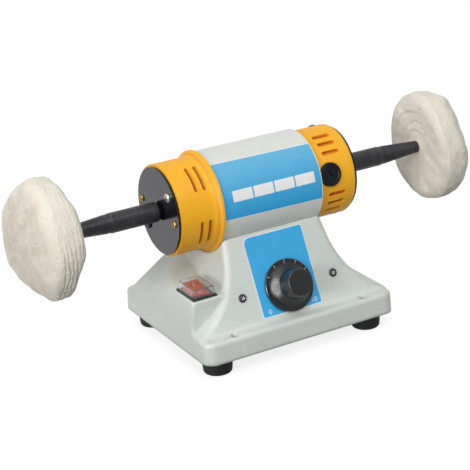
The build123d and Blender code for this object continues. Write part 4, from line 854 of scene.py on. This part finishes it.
# Studio: a pale floor, a white room and soft boxes
studio = {"floorSize": 12.0, "floorColour": "#8e8e8e", "glow": 0.79, "room": 0.38, "behindCamera": 0.5,
          "frontFloor": 0.35, "windowToward": (-0.884, -0.428, 0.184), "window": 5.5}
bm = bmesh.new()
bmesh.ops.create_grid(bm, x_segments=1, y_segments=1, size=studio["floorSize"])
floor = addObject("floor", asMesh("floor", bm))
# white paper, lit so that it is white to the eye and in gloss and still takes a shadow
paper, tree, shader, where = startMaterial("whitePaper", Roughness=0.9, Emission_Color=(1, 1, 1, 1),
                                           Base_Color=linear(studio["floorColour"]))
rays = addNode(tree, "LightPath").node.outputs
seen = addNode(tree, "Math", {0: rays["Is Camera Ray"], 1: rays["Is Glossy Ray"]}, operation="MAXIMUM")
seen = addNode(tree, "Math", {0: seen, 1: rays["Is Transmission Ray"]}, operation="MAXIMUM")
# the floor in front is dimmer in reflections, like the room there
alongFloor = addNode(tree, "SeparateXYZ", {0: where}, out="Y")
dimmed = addNode(tree, "MapRange", {
    "Value": alongFloor, "From Min": -0.1, "From Max": 0.1, "To Min": studio["frontFloor"], "To Max": 1.0})
share = addNode(tree, "Mix", {0: rays["Is Glossy Ray"], 2: seen, 3: dimmed})
wire(shader, Emission_Strength=addNode(tree, "Math", {0: share, 1: studio["glow"]}, operation="MULTIPLY"))
floor.data.materials.append(paper)

world = bpy.data.worlds.new("room")
scene.world = world
world.use_nodes = True
tree = world.node_tree
rays = addNode(tree, "LightPath").node.outputs
seen = addNode(tree, "Math", {0: rays["Is Camera Ray"], 1: rays["Is Transmission Ray"]}, operation="MAXIMUM")
level = addNode(tree, "Mix", {0: seen, 2: studio["room"], 3: 1.0})
# gloss mirrors a white backdrop behind the object and a dimmer room in front of it
outward = addNode(tree, "TexCoord", out="Generated")
direction = addNode(tree, "SeparateXYZ", {0: outward}, out="Y")
mirrored = addNode(tree, "MapRange", {
    "Value": direction, "From Min": -0.8, "From Max": 0.1, "To Min": studio["behindCamera"], "To Max": 1.0})
# and a bright window to the left
toward = addNode(tree, "VectorMath", {
    0: outward, 1: studio["windowToward"]}, out="Value", operation="DOT_PRODUCT")
window = addNode(tree, "MapRange", {
    "Value": toward, "From Min": 0.8, "From Max": 0.97, "To Max": studio["window"]})
mirrored = addNode(tree, "Math", {0: mirrored, 1: window}, operation="ADD")
level = addNode(tree, "Mix", {0: rays["Is Glossy Ray"], 2: level, 3: mirrored})
background = tree.nodes["Background"]
background.inputs["Color"].default_value = (1, 1, 1, 1)
wire(background, Strength=level)

softBoxes = {
    "leftBox": {"place": (-1.8, -0.85, 0.62), "size": 0.55, "watts": 18},
    "frontBox": {"place": (-0.15, -1.2, 1.75), "size": 1.3, "watts": 20},
    "backBox": {"place": (-0.8, 0.3, 1.5), "size": 1.2, "watts": 6},
}
aim = Vector((0, 0, 0.08))
for name, look in softBoxes.items():
    lamp = bpy.data.lights.new(name, "AREA")
    lamp.size = look["size"]
    lamp.energy = look["watts"]
    box = addObject(name, lamp)
    box.location = look["place"]
    box.rotation_euler = (aim - box.location).to_track_quat("-Z", "Y").to_euler()

viewPoint = {"place": (-0.52472, -0.96401, 0.50156), "turn": (68.836, 3.822, -29.319), "lens": 114.79,
             "sensor": 36.0, "nearest": 0.02}
camera = addObject("camera", bpy.data.cameras.new("camera"))
camera.data.sensor_width = viewPoint["sensor"]
camera.data.lens = viewPoint["lens"]
camera.data.clip_start = viewPoint["nearest"]
camera.location = viewPoint["place"]
camera.rotation_euler = [radians(turn) for turn in viewPoint["turn"]]
scene.camera = camera
scene.view_settings.view_transform = "Standard"
print("studio set, pieces:", len(pieces))
